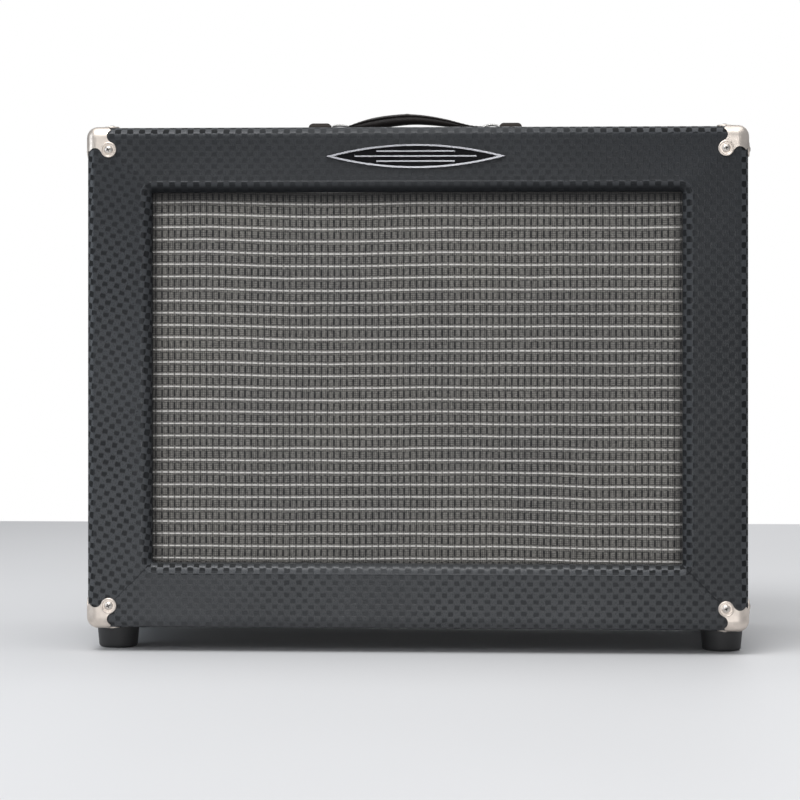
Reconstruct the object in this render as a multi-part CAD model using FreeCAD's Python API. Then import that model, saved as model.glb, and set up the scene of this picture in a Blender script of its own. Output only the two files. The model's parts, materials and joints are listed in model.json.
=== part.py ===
import FreeCAD, Part
import math
import os

# Open-backed guitar combo amplifier: one 12-inch speaker, tube chassis hung under the top board.
# Millimetres. X to the viewer's right, the front faces -Y, Z up, origin on the floor under the middle.

V = FreeCAD.Vector

# ---- cabinet ----
cabinet_width = 610.0
cabinet_height = 463.0
cabinet_depth = 267.0
board = 18.0
covering = 0.8
edge_radius = 9.5
frame_thick = 12.0
frame_border = 60.1
opening_round = 8.0
opening_corner = 2.5
joint_fingers = 13
lip_gap = 0.4

# ---- baffle, grille and back ----
baffle_thick = 15.0
cloth_thick = 1.0
baffle_gap = 1.0
speaker_cutout = 141.5
back_panel_thick = 9.0
back_panel_height = 130.0
back_panel_inset = 2.0
panel_gap = 1.0
cleat = 16.0
baffle_screw_inset = 22.0
baffle_screw_radius = 2.0
baffle_screw_bite = 8.0
back_screw_radius = 2.0
back_screw_bite = 12.0
back_screw_end = 19.0
board_head_radius = 4.0
board_head_height = 2.4

# ---- feet, corners, handle, badge ----
foot_height = 22.5
foot_top_radius = 20.0
foot_bottom_radius = 17.8
foot_side_inset = 22.0
foot_front_inset = 50.0
foot_pocket_radius = 9.0
foot_pocket_depth = 10.0
foot_edge_round = 3.0
foot_screw_radius = 2.2
foot_screw_bite = 15.0
foot_washer = 1.2
cap_thick = 0.9
cap_leg = 22.0
cap_blend_angle = 70.0
cap_ear_inset = 20.7
cap_ear_radius = 7.3
cap_bead = 0.9
cap_screw_radius = 1.8
cap_screw_length = 11.5
cap_head_radius = 4.1
cap_head_height = 2.2
badge_width = 165.0
badge_height = 22.0
badge_thick = 2.6
badge_rim = 1.6
badge_drop = 27.4
badge_bar = 1.2
badge_bar_pitch = 4.6
badge_long_bar = 56.0
badge_short_bar = 36.0

handle_x = -6.5
handle_length = 206.0
handle_cap_length = 22.0
handle_cap_width = 27.0
handle_cap_height = 11.6
handle_width = 23.0
grip_half = 67.0
grip_thick = 10.4
grip_end_thick = 5.0
grip_rise = 9.0
grip_base = 6.3
strap_width = 16.0
strap_thick = 1.6
strap_seat = 7.2
strap_headroom = 1.4
strap_tuck = 8.5
strap_gap = 0.3
handle_head_radius = 3.6
handle_head_sink = 2.4
handle_head_height = 2.2
handle_screw_radius = 2.0
handle_screw_inset = 6.0
handle_screw_length = 16.0

# ---- chassis and controls ----
chassis_side_gap = 14.2
chassis_depth = 150.0
chassis_height = 62.0
sheet = 1.5
chassis_flange = 13.0
chassis_bolt_end_inset = 67.0
chassis_bolt_inset = 7.0
chassis_bolt_radius = 2.4
chassis_cup_height = 1.6
chassis_nut_radius = 4.6
chassis_nut_thick = 4.0
panel_recess = 32.0
faceplate_thick = 1.5
faceplate_height = 65.0
knob_jack_gap = 34.0
knob_end_gap = 42.0
knob_names = ["volume", "treble", "bass", "reverb", "speed", "intensity"]
knob_radius = 12.5
knob_top_radius = 9.2
knob_height = 17.0
knob_lift = 1.0
shaft_radius = 3.0
shaft_tail = 3.4
knob_skirt = 3.2
knob_shoulder = 4.6
knob_step = 0.8
knob_crown = 1.2
knob_nut_room = 1.6
knob_floor = 5.0
knob_boss_wall = 2.2
knob_boss_start = 7.0
flute_count = 18
flute_radius = 0.9
flute_offset = 0.6
flute_start = 5.2
pointer_width = 1.4
pointer_sink = 0.5
pointer_start = 1.5
shaft_fit = 0.06
pot_radius = 12.0
pot_depth = 11.0
bushing_radius = 4.7
bushing_length = 9.0
nut_thick = 2.5
nut_radius = 7.2
hole_gap = 0.2
jack_bore = 3.25
jack_body_width = 18.0
jack_body_height = 22.0
jack_body_depth = 27.0
jack_lug_thick = 0.8
jack_lug_reach = 6.0
jack_lug_offset = 5.0
jack_lug_low = 3.0
jack_lug_width = 2.5
jack_end_inset = 22.0
input_jack_pitch = 28.0
rear_jack_pitch = 30.0
inlet_end_inset = 32.0
fuse_inlet_pitch = 40.0
switch_fuse_pitch = 24.0
switch_pitch = 26.0
lamp_switch_pitch = 26.0
jack_lamp_pitch = 30.0
toggle_radius = 6.0
toggle_bore = 4.1
toggle_length = 11.0
toggle_body_width = 17.0
toggle_body_height = 28.0
toggle_body_depth = 20.0
toggle_ball = 3.8
toggle_reach = 20.5
toggle_tip = 3.0
toggle_swing = 26.0
toggle_nut_radius = 8.6
toggle_pivot_inset = 5.5
lamp_radius = 7.6
lamp_body_depth = 22.0
lamp_ring_lip = 1.0
lamp_ring_width = 2.4
lamp_ring_edge = 1.6
lamp_ring_top = 0.6
lamp_ring_height = 4.0
jewel_seat = 2.4
jewel_rise = 4.6
fuse_radius = 6.2
fuse_bore = 4.6
fuse_body_depth = 32.0
fuse_end_wall = 4.0
fuse_flange_width = 2.4
fuse_flange_thick = 2.2
fuse_nut_width = 2.6
fuse_nut_thick = 3.0
fuse_cap_gap = 0.3
fuse_cap_width = 1.0
fuse_cap_height = 8.0
fuse_cap_round = 0.8
fuse_stem_fit = 0.08
fuse_stem_length = 30.0
fuse_slot_width = 1.4
fuse_slot_depth = 1.6
inlet_width = 50.0
inlet_height = 23.0
inlet_flange = 3.0
inlet_body_width = 28.0
inlet_body_height = 20.0
inlet_cavity_width = 24.0
inlet_cavity_height = 16.2
inlet_cavity_depth = 17.0
inlet_body_depth = 22.0
inlet_corner_cut = 4.5
inlet_screw_side = 20.0
inlet_screw_radius = 1.5
inlet_pin = 2.0
inlet_pin_length = 12.0
board_height = 11.0
board_sheet = 1.6
board_left_inset = 112.0
board_right_inset = 72.0
board_front_inset = 14.0
board_width = 84.0
post_radius = 2.6
post_inset = 10.0
component_count = 13
component_end_inset = 18.0
coupling_radius = 4.5
coupling_length = 24.0
filter_radius = 7.0
filter_height = 22.0
resistor_radius = 2.0
resistor_length = 12.0

# ---- tubes, transformers, capacitors and reverb tank ----
tube_y = 22.0
socket_flange = 1.6
socket_barrel = 8.0
noval_hole = 9.5
noval_flange_radius = 14.0
octal_hole = 14.0
octal_flange_radius = 19.0
preamp_tube_radius = 10.6
preamp_tube_base = 2.0
preamp_tube_length = 52.0
power_tube_base_radius = 17.0
power_tube_base = 15.0
power_tube_radius = 15.4
power_tube_length = 84.0
shield_gap = 0.8
shield_length = 55.0
shield_mouth_radius = 8.6
can_y = 50.0
can_pitch = 56.0
can_radius = 17.5
can_height = 62.0
can_round = 1.5
transformer_y = 20.0
bell_margin = 4.0
bell_step = 6.0
bell_round = 8.0
power_core_half = 46.0
power_bell_half = 42.0
power_core_height = 76.0
power_stack = 40.0
output_core_half = 34.0
output_bell_half = 30.0
output_core_height = 56.0
output_stack = 28.0
tank_half_length = 212.0
tank_width = 110.0
tank_height = 33.0
tank_front_y = -12.0
tank_foot = 3.0
tank_flange = 9.0
tank_round = 2.0
tank_screw_radius = 1.8
tank_screw_bite = 12.0
tank_screw_inset = 14.0
tank_socket_inset = 40.0
tank_socket_radius = 4.2
tank_socket_bore = 1.6
tank_socket_reach = 8.0
tank_socket_height = 16.0

# ---- speaker ----
speaker_flange_radius = 154.5
basket_sheet = 2.0
gasket_thick = 3.0
gasket_inner = 142.2
gasket_outer = 152.0
cone_rim_radius = 126.0
cone_neck_radius = 25.6
cone_paper = 1.0
bond_gap = 0.05
cone_rim_depth = 8.0
cone_neck_depth = 46.0
dust_cap_radius = 38.0
dust_cap_rise = 14.0
ledge_outer = 84.0
ledge_inner = 72.0
ledge_depth = 58.0
basket_rear_radius = 66.0
top_plate_depth = 74.0
top_plate_thick = 7.0
top_plate_radius = 60.0
top_plate_hole = 26.8
magnet_radius = 70.0
magnet_hole = 36.0
magnet_thick = 20.0
back_plate_thick = 8.0
pole_radius = 24.5
bolt_circle = 147.2
bolt_radius = 2.5
bolt_count = 8
bolt_nut_radius = 4.6
bolt_nut_thick = 4.0
bolt_washer = 1.0
bolt_tail = 7.0
pole_vent_radius = 8.0
magnet_chamfer = 1.5
coil_overhang = 2.0
coil_reach = 11.0
coil_wire = 0.6
coil_wall = 0.4
basket_windows = 8
window_half = 29.5
window_margin = 6.0

# ---- reference planes ----
half_w = cabinet_width / 2
# the front stands out by its screw heads and the back only by the cap metal, so the middle of
# the whole depth lies a little in front of the middle of the cabinet
middle_y = cap_head_height / 2
front_y = middle_y - cabinet_depth / 2
back_y = middle_y + cabinet_depth / 2
base_z = foot_height
top_z = foot_height + cabinet_height
wall = covering + board
inner_half_w = half_w - wall
inner_bottom = base_z + wall
inner_top = top_z - wall
frame_back_y = front_y + covering + frame_thick
opening_half_w = half_w - frame_border
opening_bottom = base_z + frame_border
opening_top = top_z - frame_border
middle_z = (opening_bottom + opening_top) / 2
baffle_front_y = frame_back_y + cloth_thick
baffle_back_y = baffle_front_y + baffle_thick
face_y = back_y - panel_recess
rail_y = face_y - faceplate_thick
chassis_front_y = rail_y - chassis_depth
chassis_half_width = inner_half_w - chassis_side_gap
chassis_bolt_x = chassis_half_width - chassis_bolt_end_inset
chassis_floor_z = inner_top - chassis_height
control_z = inner_top - chassis_height / 2
panel_back_y = back_y - back_panel_inset
panel_front_y = panel_back_y - back_panel_thick

# the cap's faces meet where a rounded edge has turned half way
edge_half_depth = edge_radius * (1 - math.sqrt(0.5))
cap_nose = edge_radius + 2 * cap_thick

# ---- places along the control panel, counted in from both ends of the chassis ----
input_jacks = [chassis_half_width - jack_end_inset, chassis_half_width - jack_end_inset - input_jack_pitch]
inlet_x = -chassis_half_width + inlet_end_inset
fuse_x = inlet_x + fuse_inlet_pitch
power_x = fuse_x + switch_fuse_pitch
standby_x = power_x + switch_pitch
lamp_x = standby_x + lamp_switch_pitch
rear_jacks = [lamp_x + jack_lamp_pitch + rear_jack_pitch, lamp_x + jack_lamp_pitch]
jack_places = input_jacks + rear_jacks
knob_first_x = input_jacks[1] - knob_jack_gap
knob_pitch = (knob_first_x - rear_jacks[0] - knob_end_gap) / (len(knob_names) - 1)

# ---- row of parts under the chassis, evenly spaced between its ends ----
row_halves = [power_core_half] + [octal_flange_radius] * 2 + [output_core_half] + [noval_flange_radius] * 3
row_halves.append(can_radius)
row_gap = (2 * chassis_half_width - 2 * sum(row_halves)) / (len(row_halves) + 1)
row_x = []
reached = -chassis_half_width
for half in row_halves:
    row_x.append(reached + row_gap + half)
    reached += row_gap + 2 * half
power_transformer_x = row_x[0]
power_tube_places = [(x, tube_y) for x in row_x[1:3]]
output_transformer_x = row_x[3]
preamp_tube_places = [(x, tube_y) for x in row_x[4:7]]
can_places = [(row_x[7], can_y), (row_x[7], can_y - can_pitch)]


# ---- small makers ----
def block(x0, x1, y0, y1, z0, z1):
    return Part.makeBox(x1 - x0, y1 - y0, z1 - z0, V(x0, y0, z0))


def rod(radius, start, end):
    line = end - start
    return Part.makeCylinder(radius, line.Length, start, line)


def tube(outer, inner, start, end):
    return rod(outer, start, end).cut(rod(inner, start, end))


def cone(radius_a, radius_b, start, end):
    line = end - start
    return Part.makeCone(radius_a, radius_b, line.Length, start, line)


def hex_prism(radius, start, end):
    line = end - start
    ring = [V(radius * math.cos(k * math.pi / 3), radius * math.sin(k * math.pi / 3), 0) for k in range(7)]
    solid = Part.Face(Part.makePolygon(ring)).extrude(V(0, 0, line.Length))
    solid.Placement = FreeCAD.Placement(start, FreeCAD.Rotation(V(0, 0, 1), line))
    return solid


def dome(radius, height, start, along):
    # cap of a sphere whose flat side lies at start
    ball_radius = (radius * radius + height * height) / (2 * height)
    unit = V(along)
    unit.normalize()
    centre = start + unit * (height - ball_radius)
    ball = Part.makeSphere(ball_radius, centre)
    return ball.common(rod(radius, start, start + unit * height))


def turned(points, centre, axis):
    # outline of (radius, height) points, closed and turned once round the axis through centre
    loop = [V(r, 0, h) for r, h in points]
    solid = Part.Face(Part.makePolygon(loop + [loop[0]])).revolve(V(0, 0, 0), V(0, 0, 1), 360)
    solid.Placement = FreeCAD.Placement(centre, FreeCAD.Rotation(V(0, 0, 1), V(axis)))
    return solid


def rounded_block(grow, radius):
    # the cabinet's outer form, grown outwards by grow on every side
    box = block(-half_w - grow, half_w + grow, front_y - grow, back_y + grow, base_z - grow, top_z + grow)
    return box.makeFillet(radius, box.Edges)


def plate(width, height, corner, y0, y1, x, z):
    box = block(x - width / 2, x + width / 2, y0, y1, z - height / 2, z + height / 2)
    edges = [e for e in box.Edges if abs(e.tangentAt(e.FirstParameter).y) > 0.99]
    return box.makeFillet(corner, edges)


def mirrored(shape, normal):
    # copy reflected in the plane through the cabinet's middle with the given normal
    return shape.mirror(V(0, middle_y, base_z + cabinet_height / 2), normal)


def save(name, solids):
    found = solids if isinstance(solids, list) else [solids]
    whole = found[0] if len(found) == 1 else Part.makeCompound(found)
    if len(whole.Solids) == 1:
        whole = whole.Solids[0]
    bad = [s for s in whole.Solids if not s.isValid()]
    print(name, len(whole.Solids), "solids", "INVALID" if bad or not whole.Solids else "")
    whole.exportStep(os.path.join("parts", name + ".step"))


# ---- places of the fasteners ----
def cap_screw_places():
    # (point on the cabinet's surface, outward direction) for the ears of each corner:
    # three at the front, two at the open back, where the third ear would miss the boards
    places = []
    for sx in (-1, 1):
        for sy, edge_y in ((-1, front_y), (1, back_y)):
            for sz, edge_z in ((-1, base_z), (1, top_z)):
                ear_x = sx * (half_w - cap_ear_inset)
                ear_y = edge_y - sy * cap_ear_inset
                ear_z = edge_z - sz * cap_ear_inset
                if sy < 0:
                    places.append((V(ear_x, edge_y, ear_z), V(0, sy, 0)))
                places.append((V(sx * half_w, ear_y, ear_z), V(sx, 0, 0)))
                places.append((V(ear_x, ear_y, edge_z), V(0, 0, sz)))
    return places


def foot_places():
    foot_x = half_w - foot_side_inset
    rows = (front_y + foot_front_inset, back_y - foot_front_inset)
    return [V(sx * foot_x, y, base_z) for sx in (-1, 1) for y in rows]


def baffle_screw_places():
    far_x = opening_half_w + baffle_screw_inset
    far_z = cabinet_height / 2 - frame_border + baffle_screw_inset
    places = [(sx * far_x, middle_z + sz * far_z) for sx in (-1, 1) for sz in (-1, 1)]
    places += [(sx * far_x, middle_z) for sx in (-1, 1)]
    places += [(0.0, middle_z + sz * far_z) for sz in (-1, 1)]
    return places


def chassis_bolt_places():
    rows = (chassis_front_y + chassis_bolt_inset, rail_y - chassis_bolt_inset)
    return [(sx * chassis_bolt_x, y) for sx in (-1, 1) for y in rows]


def handle_screw_places():
    x = handle_length / 2 - handle_screw_inset
    return [(handle_x - x, 0.0), (handle_x + x, 0.0)]


def cabinet_drills():
    # every shank that bites into the wood, as one list of cutting rods
    rods = []
    for point, out in cap_screw_places():
        rods.append(rod(cap_screw_radius, point + out * 1.0, point - out * cap_screw_length))
    for point in foot_places():
        rods.append(rod(foot_screw_radius, point - V(0, 0, 1), point + V(0, 0, foot_screw_bite)))
    for x, z in baffle_screw_places():
        tip = V(x, frame_back_y - baffle_screw_bite, z)
        rods.append(rod(baffle_screw_radius, V(x, baffle_back_y, z), tip))
    for x, y in chassis_bolt_places():
        rods.append(rod(chassis_bolt_radius, V(x, y, inner_top - 1), V(x, y, top_z + 1)))
    for x, y in handle_screw_places():
        rods.append(rod(handle_screw_radius, V(x, y, top_z + 1), V(x, y, top_z - handle_screw_length)))
    for x, y in tank_screw_places():
        tip = V(x, y, inner_bottom - tank_screw_bite)
        rods.append(rod(tank_screw_radius, V(x, y, inner_bottom + 1), tip))
    return rods


def tank_screw_places():
    x = tank_half_length + tank_flange / 2
    rows = (tank_front_y + tank_screw_inset, tank_front_y + tank_width - tank_screw_inset)
    return [(sx * x, y) for sx in (-1, 1) for y in rows]


# ---- cabinet ----
def front_opening(grow):
    width = 2 * (opening_half_w + grow)
    height = opening_top - opening_bottom + 2 * grow
    return plate(width, height, opening_corner + grow, front_y - 1, frame_back_y, 0, middle_z)


def round_opening(shape, face_at, radius):
    # rounds the front edges of the opening, which all lie in the plane y = face_at
    chosen = []
    for edge in shape.Edges:
        box = edge.BoundBox
        flat = abs(box.YMin - face_at) < 0.01 and abs(box.YMax - face_at) < 0.01
        inside = abs(edge.CenterOfMass.x) < half_w - 25 and base_z + 25 < edge.CenterOfMass.z < top_z - 25
        near = edge.Length < cabinet_width
        if flat and inside and near:
            chosen.append(edge)
    return shape.makeFillet(radius, chosen)


def interior():
    return block(-inner_half_w, inner_half_w, frame_back_y, back_y + 1, inner_bottom, inner_top)


def wooden_box():
    wood = rounded_block(-covering, edge_radius - covering).cut([interior(), front_opening(covering)])
    return round_opening(wood, front_y + covering, opening_round - covering)


def covering_skin(wood):
    outer = rounded_block(0, edge_radius).cut([interior(), front_opening(0)])
    outer = round_opening(outer, front_y, opening_round)
    skin = outer.cut(wood)
    lip_y = rail_y + lip_gap
    lip = block(-inner_half_w, inner_half_w, lip_y, back_y, inner_bottom, inner_top)
    hollow = block(-inner_half_w + covering, inner_half_w - covering, lip_y, back_y + 1,
                   inner_bottom + covering, inner_top - covering)
    return skin.fuse(lip.cut(hollow)).removeSplitter()


def finger_blocks(first):
    # alternate finger spaces of the four box joints, counted from the front
    step = (back_y - frame_back_y) / joint_fingers
    blocks = []
    for k in range(first, joint_fingers, 2):
        y0 = frame_back_y + k * step
        for sx in (-1, 1):
            for z0, z1 in ((base_z, inner_bottom), (inner_top, top_z)):
                x0, x1 = sorted((sx * inner_half_w, sx * half_w))
                blocks.append(block(x0, x1, y0, y0 + step, z0, z1))
    return blocks


def cabinet_boards(wood):
    slab = block(-half_w, half_w, front_y, frame_back_y, base_z, top_z)
    ring = wood.cut(slab)
    flat_fingers = finger_blocks(0)
    side_fingers = finger_blocks(1)
    top = block(-half_w, half_w, frame_back_y, back_y, inner_top, top_z)
    bottom = block(-half_w, half_w, frame_back_y, back_y, base_z, inner_bottom)
    left = block(-half_w, -inner_half_w, frame_back_y, back_y, base_z, top_z)
    right = block(inner_half_w, half_w, frame_back_y, back_y, base_z, top_z)
    return {
        "front_frame": wood.common(slab),
        "top_board": ring.common(top).cut(side_fingers),
        "bottom_board": ring.common(bottom).cut(side_fingers),
        "left_side_board": ring.common(left).cut(flat_fingers),
        "right_side_board": ring.common(right).cut(flat_fingers),
    }


def baffle_blank(y0, y1):
    return block(-inner_half_w + baffle_gap, inner_half_w - baffle_gap, y0, y1,
                 inner_bottom + baffle_gap, inner_top - baffle_gap)


def countersink(point, along, radius, shank):
    return cone(radius, shank, point, point + along * (radius - shank))


def baffle_board():
    cutout = rod(speaker_cutout, V(0, baffle_front_y - 1, middle_z), V(0, baffle_back_y + 1, middle_z))
    tools = [cutout]
    for centre in speaker_bolt_places():
        front = V(centre.x, baffle_front_y, centre.z)
        tools.append(rod(bolt_radius, front, front + V(0, baffle_thick, 0)))
        tools.append(countersink(front, V(0, 1, 0), bolt_radius * 2, bolt_radius))
    return baffle_blank(baffle_front_y, baffle_back_y).cut(tools)


def flat_head_screw(point, along, head, radius, length):
    # countersunk head flush with the surface at point, shank running along the given direction
    shank = rod(radius, point, point + along * length)
    slot = block(-head, head, -0.4, 0.4, -0.9, 0.1)
    slot.Placement = FreeCAD.Placement(point, FreeCAD.Rotation(V(0, 0, 1), along * -1))
    return shank.fuse(countersink(point, along, head, radius)).cut(slot)


def round_head_screw(point, out, head, height, radius, length):
    # domed cross-slot head standing on the surface at point, shank running inwards
    body = dome(head, height, point, out).fuse(rod(radius, point, point - out * length))
    slots = []
    for turn in (0, 90):
        slot = block(-head * 0.45, head * 0.45, -0.45, 0.45, height * 0.35, height + 1)
        slot.rotate(V(0, 0, 0), V(0, 0, 1), turn + 20)
        turned = FreeCAD.Placement(point, FreeCAD.Rotation(V(0, 0, 1), out))
        slot.Placement = turned.multiply(slot.Placement)
        slots.append(slot)
    return body.cut(slots)


def back_screw_places():
    x = inner_half_w - covering - cleat / 2
    low = inner_bottom + covering + back_screw_end
    high = inner_bottom + covering + back_panel_height - back_screw_end
    heights = [low, (low + high) / 2, high]
    return [(sx * x, z) for sx in (-1, 1) for z in heights]


def back_cleats():
    # two strips glued over the covering's folded edge; the lower back panel is screwed to them
    low = inner_bottom + covering
    drills = [rod(back_screw_radius, V(x, panel_front_y - back_screw_bite, z), V(x, panel_front_y, z))
              for x, z in back_screw_places()]
    strips = []
    for sx in (-1, 1):
        x0, x1 = sorted((sx * (inner_half_w - covering - cleat), sx * (inner_half_w - covering)))
        strip = block(x0, x1, panel_front_y - cleat, panel_front_y, low, low + back_panel_height)
        strips.append(strip.cut(drills))
    return strips


def lower_back_panel():
    half = inner_half_w - covering - panel_gap
    low = inner_bottom + covering + panel_gap
    drills = [rod(back_screw_radius, V(x, panel_front_y - 1, z), V(x, panel_back_y + 1, z))
              for x, z in back_screw_places()]
    return block(-half, half, panel_front_y, panel_back_y, low, low + back_panel_height).cut(drills)


def panel_screws():
    screws = []
    for x, z in baffle_screw_places():
        reach = baffle_back_y - frame_back_y + baffle_screw_bite
        seat = V(x, baffle_back_y, z)
        screws.append(round_head_screw(seat, V(0, 1, 0), board_head_radius, board_head_height,
                                       baffle_screw_radius, reach))
    for x, z in back_screw_places():
        seat = V(x, panel_back_y, z)
        reach = back_panel_thick + back_screw_bite
        screws.append(round_head_screw(seat, V(0, 1, 0), board_head_radius, back_panel_inset - 0.1,
                                       back_screw_radius, reach))
    for x, y in tank_screw_places():
        seat = V(x, y, inner_bottom + tank_foot + sheet)
        reach = tank_foot + sheet + tank_screw_bite
        screws.append(round_head_screw(seat, V(0, 0, 1), board_head_radius, board_head_height,
                                       tank_screw_radius, reach))
    return screws


# ---- corners, feet and badge ----
def cap_region(reach, with_ear):
    # outline of one face of a corner cap, in the plane of the face, from the corner outwards;
    # a hollow curve runs from each leg tangentially into the round ear
    outside = -2 * cap_thick
    leg_end = V(cap_leg, edge_half_depth, 0)
    middle = V(cap_ear_inset, cap_ear_inset, 0)
    if with_ear:
        slope = math.radians(cap_blend_angle)
        normal = V(math.cos(slope), -math.sin(slope), 0)
        touch = middle + normal * cap_ear_radius
        span = touch - leg_end
        radius = -span.dot(span) / (2 * span.dot(normal))
        centre = touch + normal * radius
        bisector = (leg_end - centre).normalize() + (touch - centre).normalize()
        hollow = centre + bisector.normalize() * radius
    else:
        touch = V(cap_leg / 2, cap_leg / 2, 0)
        hollow = V(cap_leg * 0.72, cap_leg * 0.36, 0)
    flip = [V(p.y, p.x, 0) for p in (leg_end, hollow, touch)]
    rim = [flip[0], V(outside, cap_leg, 0), V(outside, outside, 0), V(cap_leg, outside, 0), leg_end]
    edges = [Part.Arc(leg_end, hollow, touch).toShape()]
    if with_ear:
        edges.append(Part.makeLine(touch, flip[2]))
    edges.append(Part.Arc(flip[2], flip[1], flip[0]).toShape())
    edges += [Part.makeLine(rim[k], rim[k + 1]) for k in range(len(rim) - 1)]
    flat = Part.Face(Part.Wire(edges)).extrude(V(0, 0, reach))
    return flat.fuse(rod(cap_ear_radius, middle, middle + V(0, 0, reach))) if with_ear else flat


def corner_cap(rear):
    # pressed cap of the right top corner, at the back or at the front
    sy = 1 if rear else -1
    corner = V(half_w, back_y if rear else front_y, top_z)
    reach = edge_half_depth + 2 * cap_thick
    inward = (V(-1, 0, 0), V(0, -sy, 0), V(0, 0, -1))
    regions = []
    for k in range(3):
        out = inward[k] * -1
        first, second = inward[(k + 1) % 3], inward[(k + 2) % 3]
        if first.cross(second).dot(out) < 0:
            first, second = second, first
        region = cap_region(reach, k != 1 or not rear)
        turn = FreeCAD.Rotation(first, second, out, "ZXY")
        region.Placement = FreeCAD.Placement(corner - out * edge_half_depth, turn)
        regions.append(region)
    outside = V(1, sy, 1) * (2 * cap_thick)
    nose = Part.makeBox(cap_nose, cap_nose, cap_nose)
    nose_corner = corner + outside - V(cap_nose, cap_nose if rear else 0, cap_nose)
    nose.Placement = FreeCAD.Placement(nose_corner, FreeCAD.Rotation())
    regions.append(nose)
    shell = rounded_block(cap_thick, edge_radius + cap_thick).cut(rounded_block(0, edge_radius))
    size = cap_ear_inset + cap_ear_radius + cap_leg
    room = block(corner.x - size, corner.x + size, corner.y - size, corner.y + size,
                 corner.z - size, corner.z + size)
    cap = shell.common(room).common(regions[0].fuse(regions[1:]))
    beads = []
    drills = []
    for point, out in cap_screw_places():
        if point.x > 0 and (point.y - middle_y) * sy > 0 and point.z > middle_z:
            ring = Part.makeTorus(cap_ear_radius - cap_bead, cap_bead, point + out * cap_thick, out)
            low = point + out * (cap_thick / 2)
            beads.append(ring.common(rod(cap_ear_radius + cap_bead, low, low + out * 2 * cap_bead)))
            drills.append(rod(cap_screw_radius, point - out, point + out * 2 * cap_thick))
    return cap.fuse(beads).cut(drills)


def corner_caps():
    right_top = [corner_cap(False), corner_cap(True)]
    top = right_top + [mirrored(s, V(1, 0, 0)) for s in right_top]
    return top + [mirrored(s, V(0, 0, 1)) for s in top]


def corner_screws():
    screws = []
    for point, out in cap_screw_places():
        seat = point + out * cap_thick
        reach = cap_thick + cap_screw_length
        screw = round_head_screw(seat, out, cap_head_radius, cap_head_height, cap_screw_radius, reach)
        screws.append(screw)
    return screws


def rubber_foot(point):
    bottom = V(point.x, point.y, 0)
    foot = cone(foot_bottom_radius, foot_top_radius, bottom, point)
    rim = [e for e in foot.Edges if e.BoundBox.ZMax < 0.01]
    foot = foot.makeFillet(foot_edge_round, rim)
    pocket = rod(foot_pocket_radius, bottom - V(0, 0, 1), bottom + V(0, 0, foot_pocket_depth))
    return foot.cut([pocket, rod(foot_screw_radius, bottom, point)])


def foot_fastener(point):
    washer_z = foot_pocket_depth
    washer = tube(foot_pocket_radius - 1.0, foot_screw_radius, V(point.x, point.y, washer_z - foot_washer),
                  V(point.x, point.y, washer_z))
    seat = V(point.x, point.y, washer_z - foot_washer)
    reach = point.z - seat.z + foot_screw_bite
    return [washer, round_head_screw(seat, V(0, 0, -1), 5.0, 3.0, foot_screw_radius, reach)]


def lens_plate(width, height, y0, y1, z):
    # long lens outline: two shallow arcs meeting at softened points
    half = width / 2
    rise = height / 2
    arcs = [Part.Arc(V(-half, 0, z), V(0, 0, z + rise), V(half, 0, z)).toShape(),
            Part.Arc(V(half, 0, z), V(0, 0, z - rise), V(-half, 0, z)).toShape()]
    solid = Part.Face(Part.Wire(arcs)).extrude(V(0, y1 - y0, 0))
    solid.translate(V(0, y0, 0))
    return solid


def badge_plate():
    z = top_z - badge_drop
    body = lens_plate(badge_width, badge_height, front_y - badge_thick, front_y, z)
    field = lens_plate(badge_width - 8 * badge_rim, badge_height - 2 * badge_rim,
                       front_y - badge_thick, front_y - badge_thick / 2, z)
    bars = []
    for shift in (-1, 0, 1):
        bar_half = badge_short_bar if shift else badge_long_bar
        bar_z = z + shift * badge_bar_pitch
        bars.append(block(-bar_half, bar_half, front_y - badge_thick, front_y - badge_thick / 2,
                          bar_z - badge_bar / 2, bar_z + badge_bar / 2))
    return body.cut(field.cut(bars))


# ---- handle ----
def grip_arc(x, lift):
    # height of the grip's middle line, plus lift, at distance x from the cabinet's middle
    radius = (grip_half ** 2 + grip_rise ** 2) / (2 * grip_rise)
    return top_z + grip_base + grip_rise - radius + math.sqrt(radius ** 2 - x ** 2) + lift


def arched_bar(half, thick_middle, thick_end, width):
    upper = Part.Arc(V(-half, 0, grip_arc(half, thick_end / 2)), V(0, 0, grip_arc(0, thick_middle / 2)),
                     V(half, 0, grip_arc(half, thick_end / 2))).toShape()
    lower = Part.Arc(V(half, 0, grip_arc(half, -thick_end / 2)), V(0, 0, grip_arc(0, -thick_middle / 2)),
                     V(-half, 0, grip_arc(half, -thick_end / 2))).toShape()
    right = Part.LineSegment(V(half, 0, grip_arc(half, thick_end / 2)),
                             V(half, 0, grip_arc(half, -thick_end / 2))).toShape()
    left = Part.LineSegment(V(-half, 0, grip_arc(half, -thick_end / 2)),
                            V(-half, 0, grip_arc(half, thick_end / 2))).toShape()
    bar = Part.Face(Part.Wire([upper, right, lower, left])).extrude(V(0, width, 0))
    bar.translate(V(handle_x, -width / 2, 0))
    return bar


def handle_grip():
    bar = arched_bar(grip_half, grip_thick, grip_end_thick, handle_width)
    edges = [e for e in bar.Edges if e.Length > grip_half]
    return bar.makeFillet(grip_end_thick * 0.45, edges)


def strap_end(side):
    # bare steel end of the strap, from the grip down into the end cap
    cap_edge = handle_length / 2 - handle_cap_length
    outer_x = cap_edge + strap_tuck
    bend_x = cap_edge + 1.0
    z_in = grip_arc(grip_half, 0) - strap_thick / 2
    z_out = top_z + strap_seat
    path = [(grip_half, z_in), (bend_x, z_out), (outer_x, z_out), (outer_x, z_out + strap_thick),
            (bend_x, z_out + strap_thick), (grip_half, z_in + strap_thick)]
    loop = [V(handle_x + side * x, -strap_width / 2, z) for x, z in path]
    return Part.Face(Part.makePolygon(loop + [loop[0]])).extrude(V(0, strap_width, 0))


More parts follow.
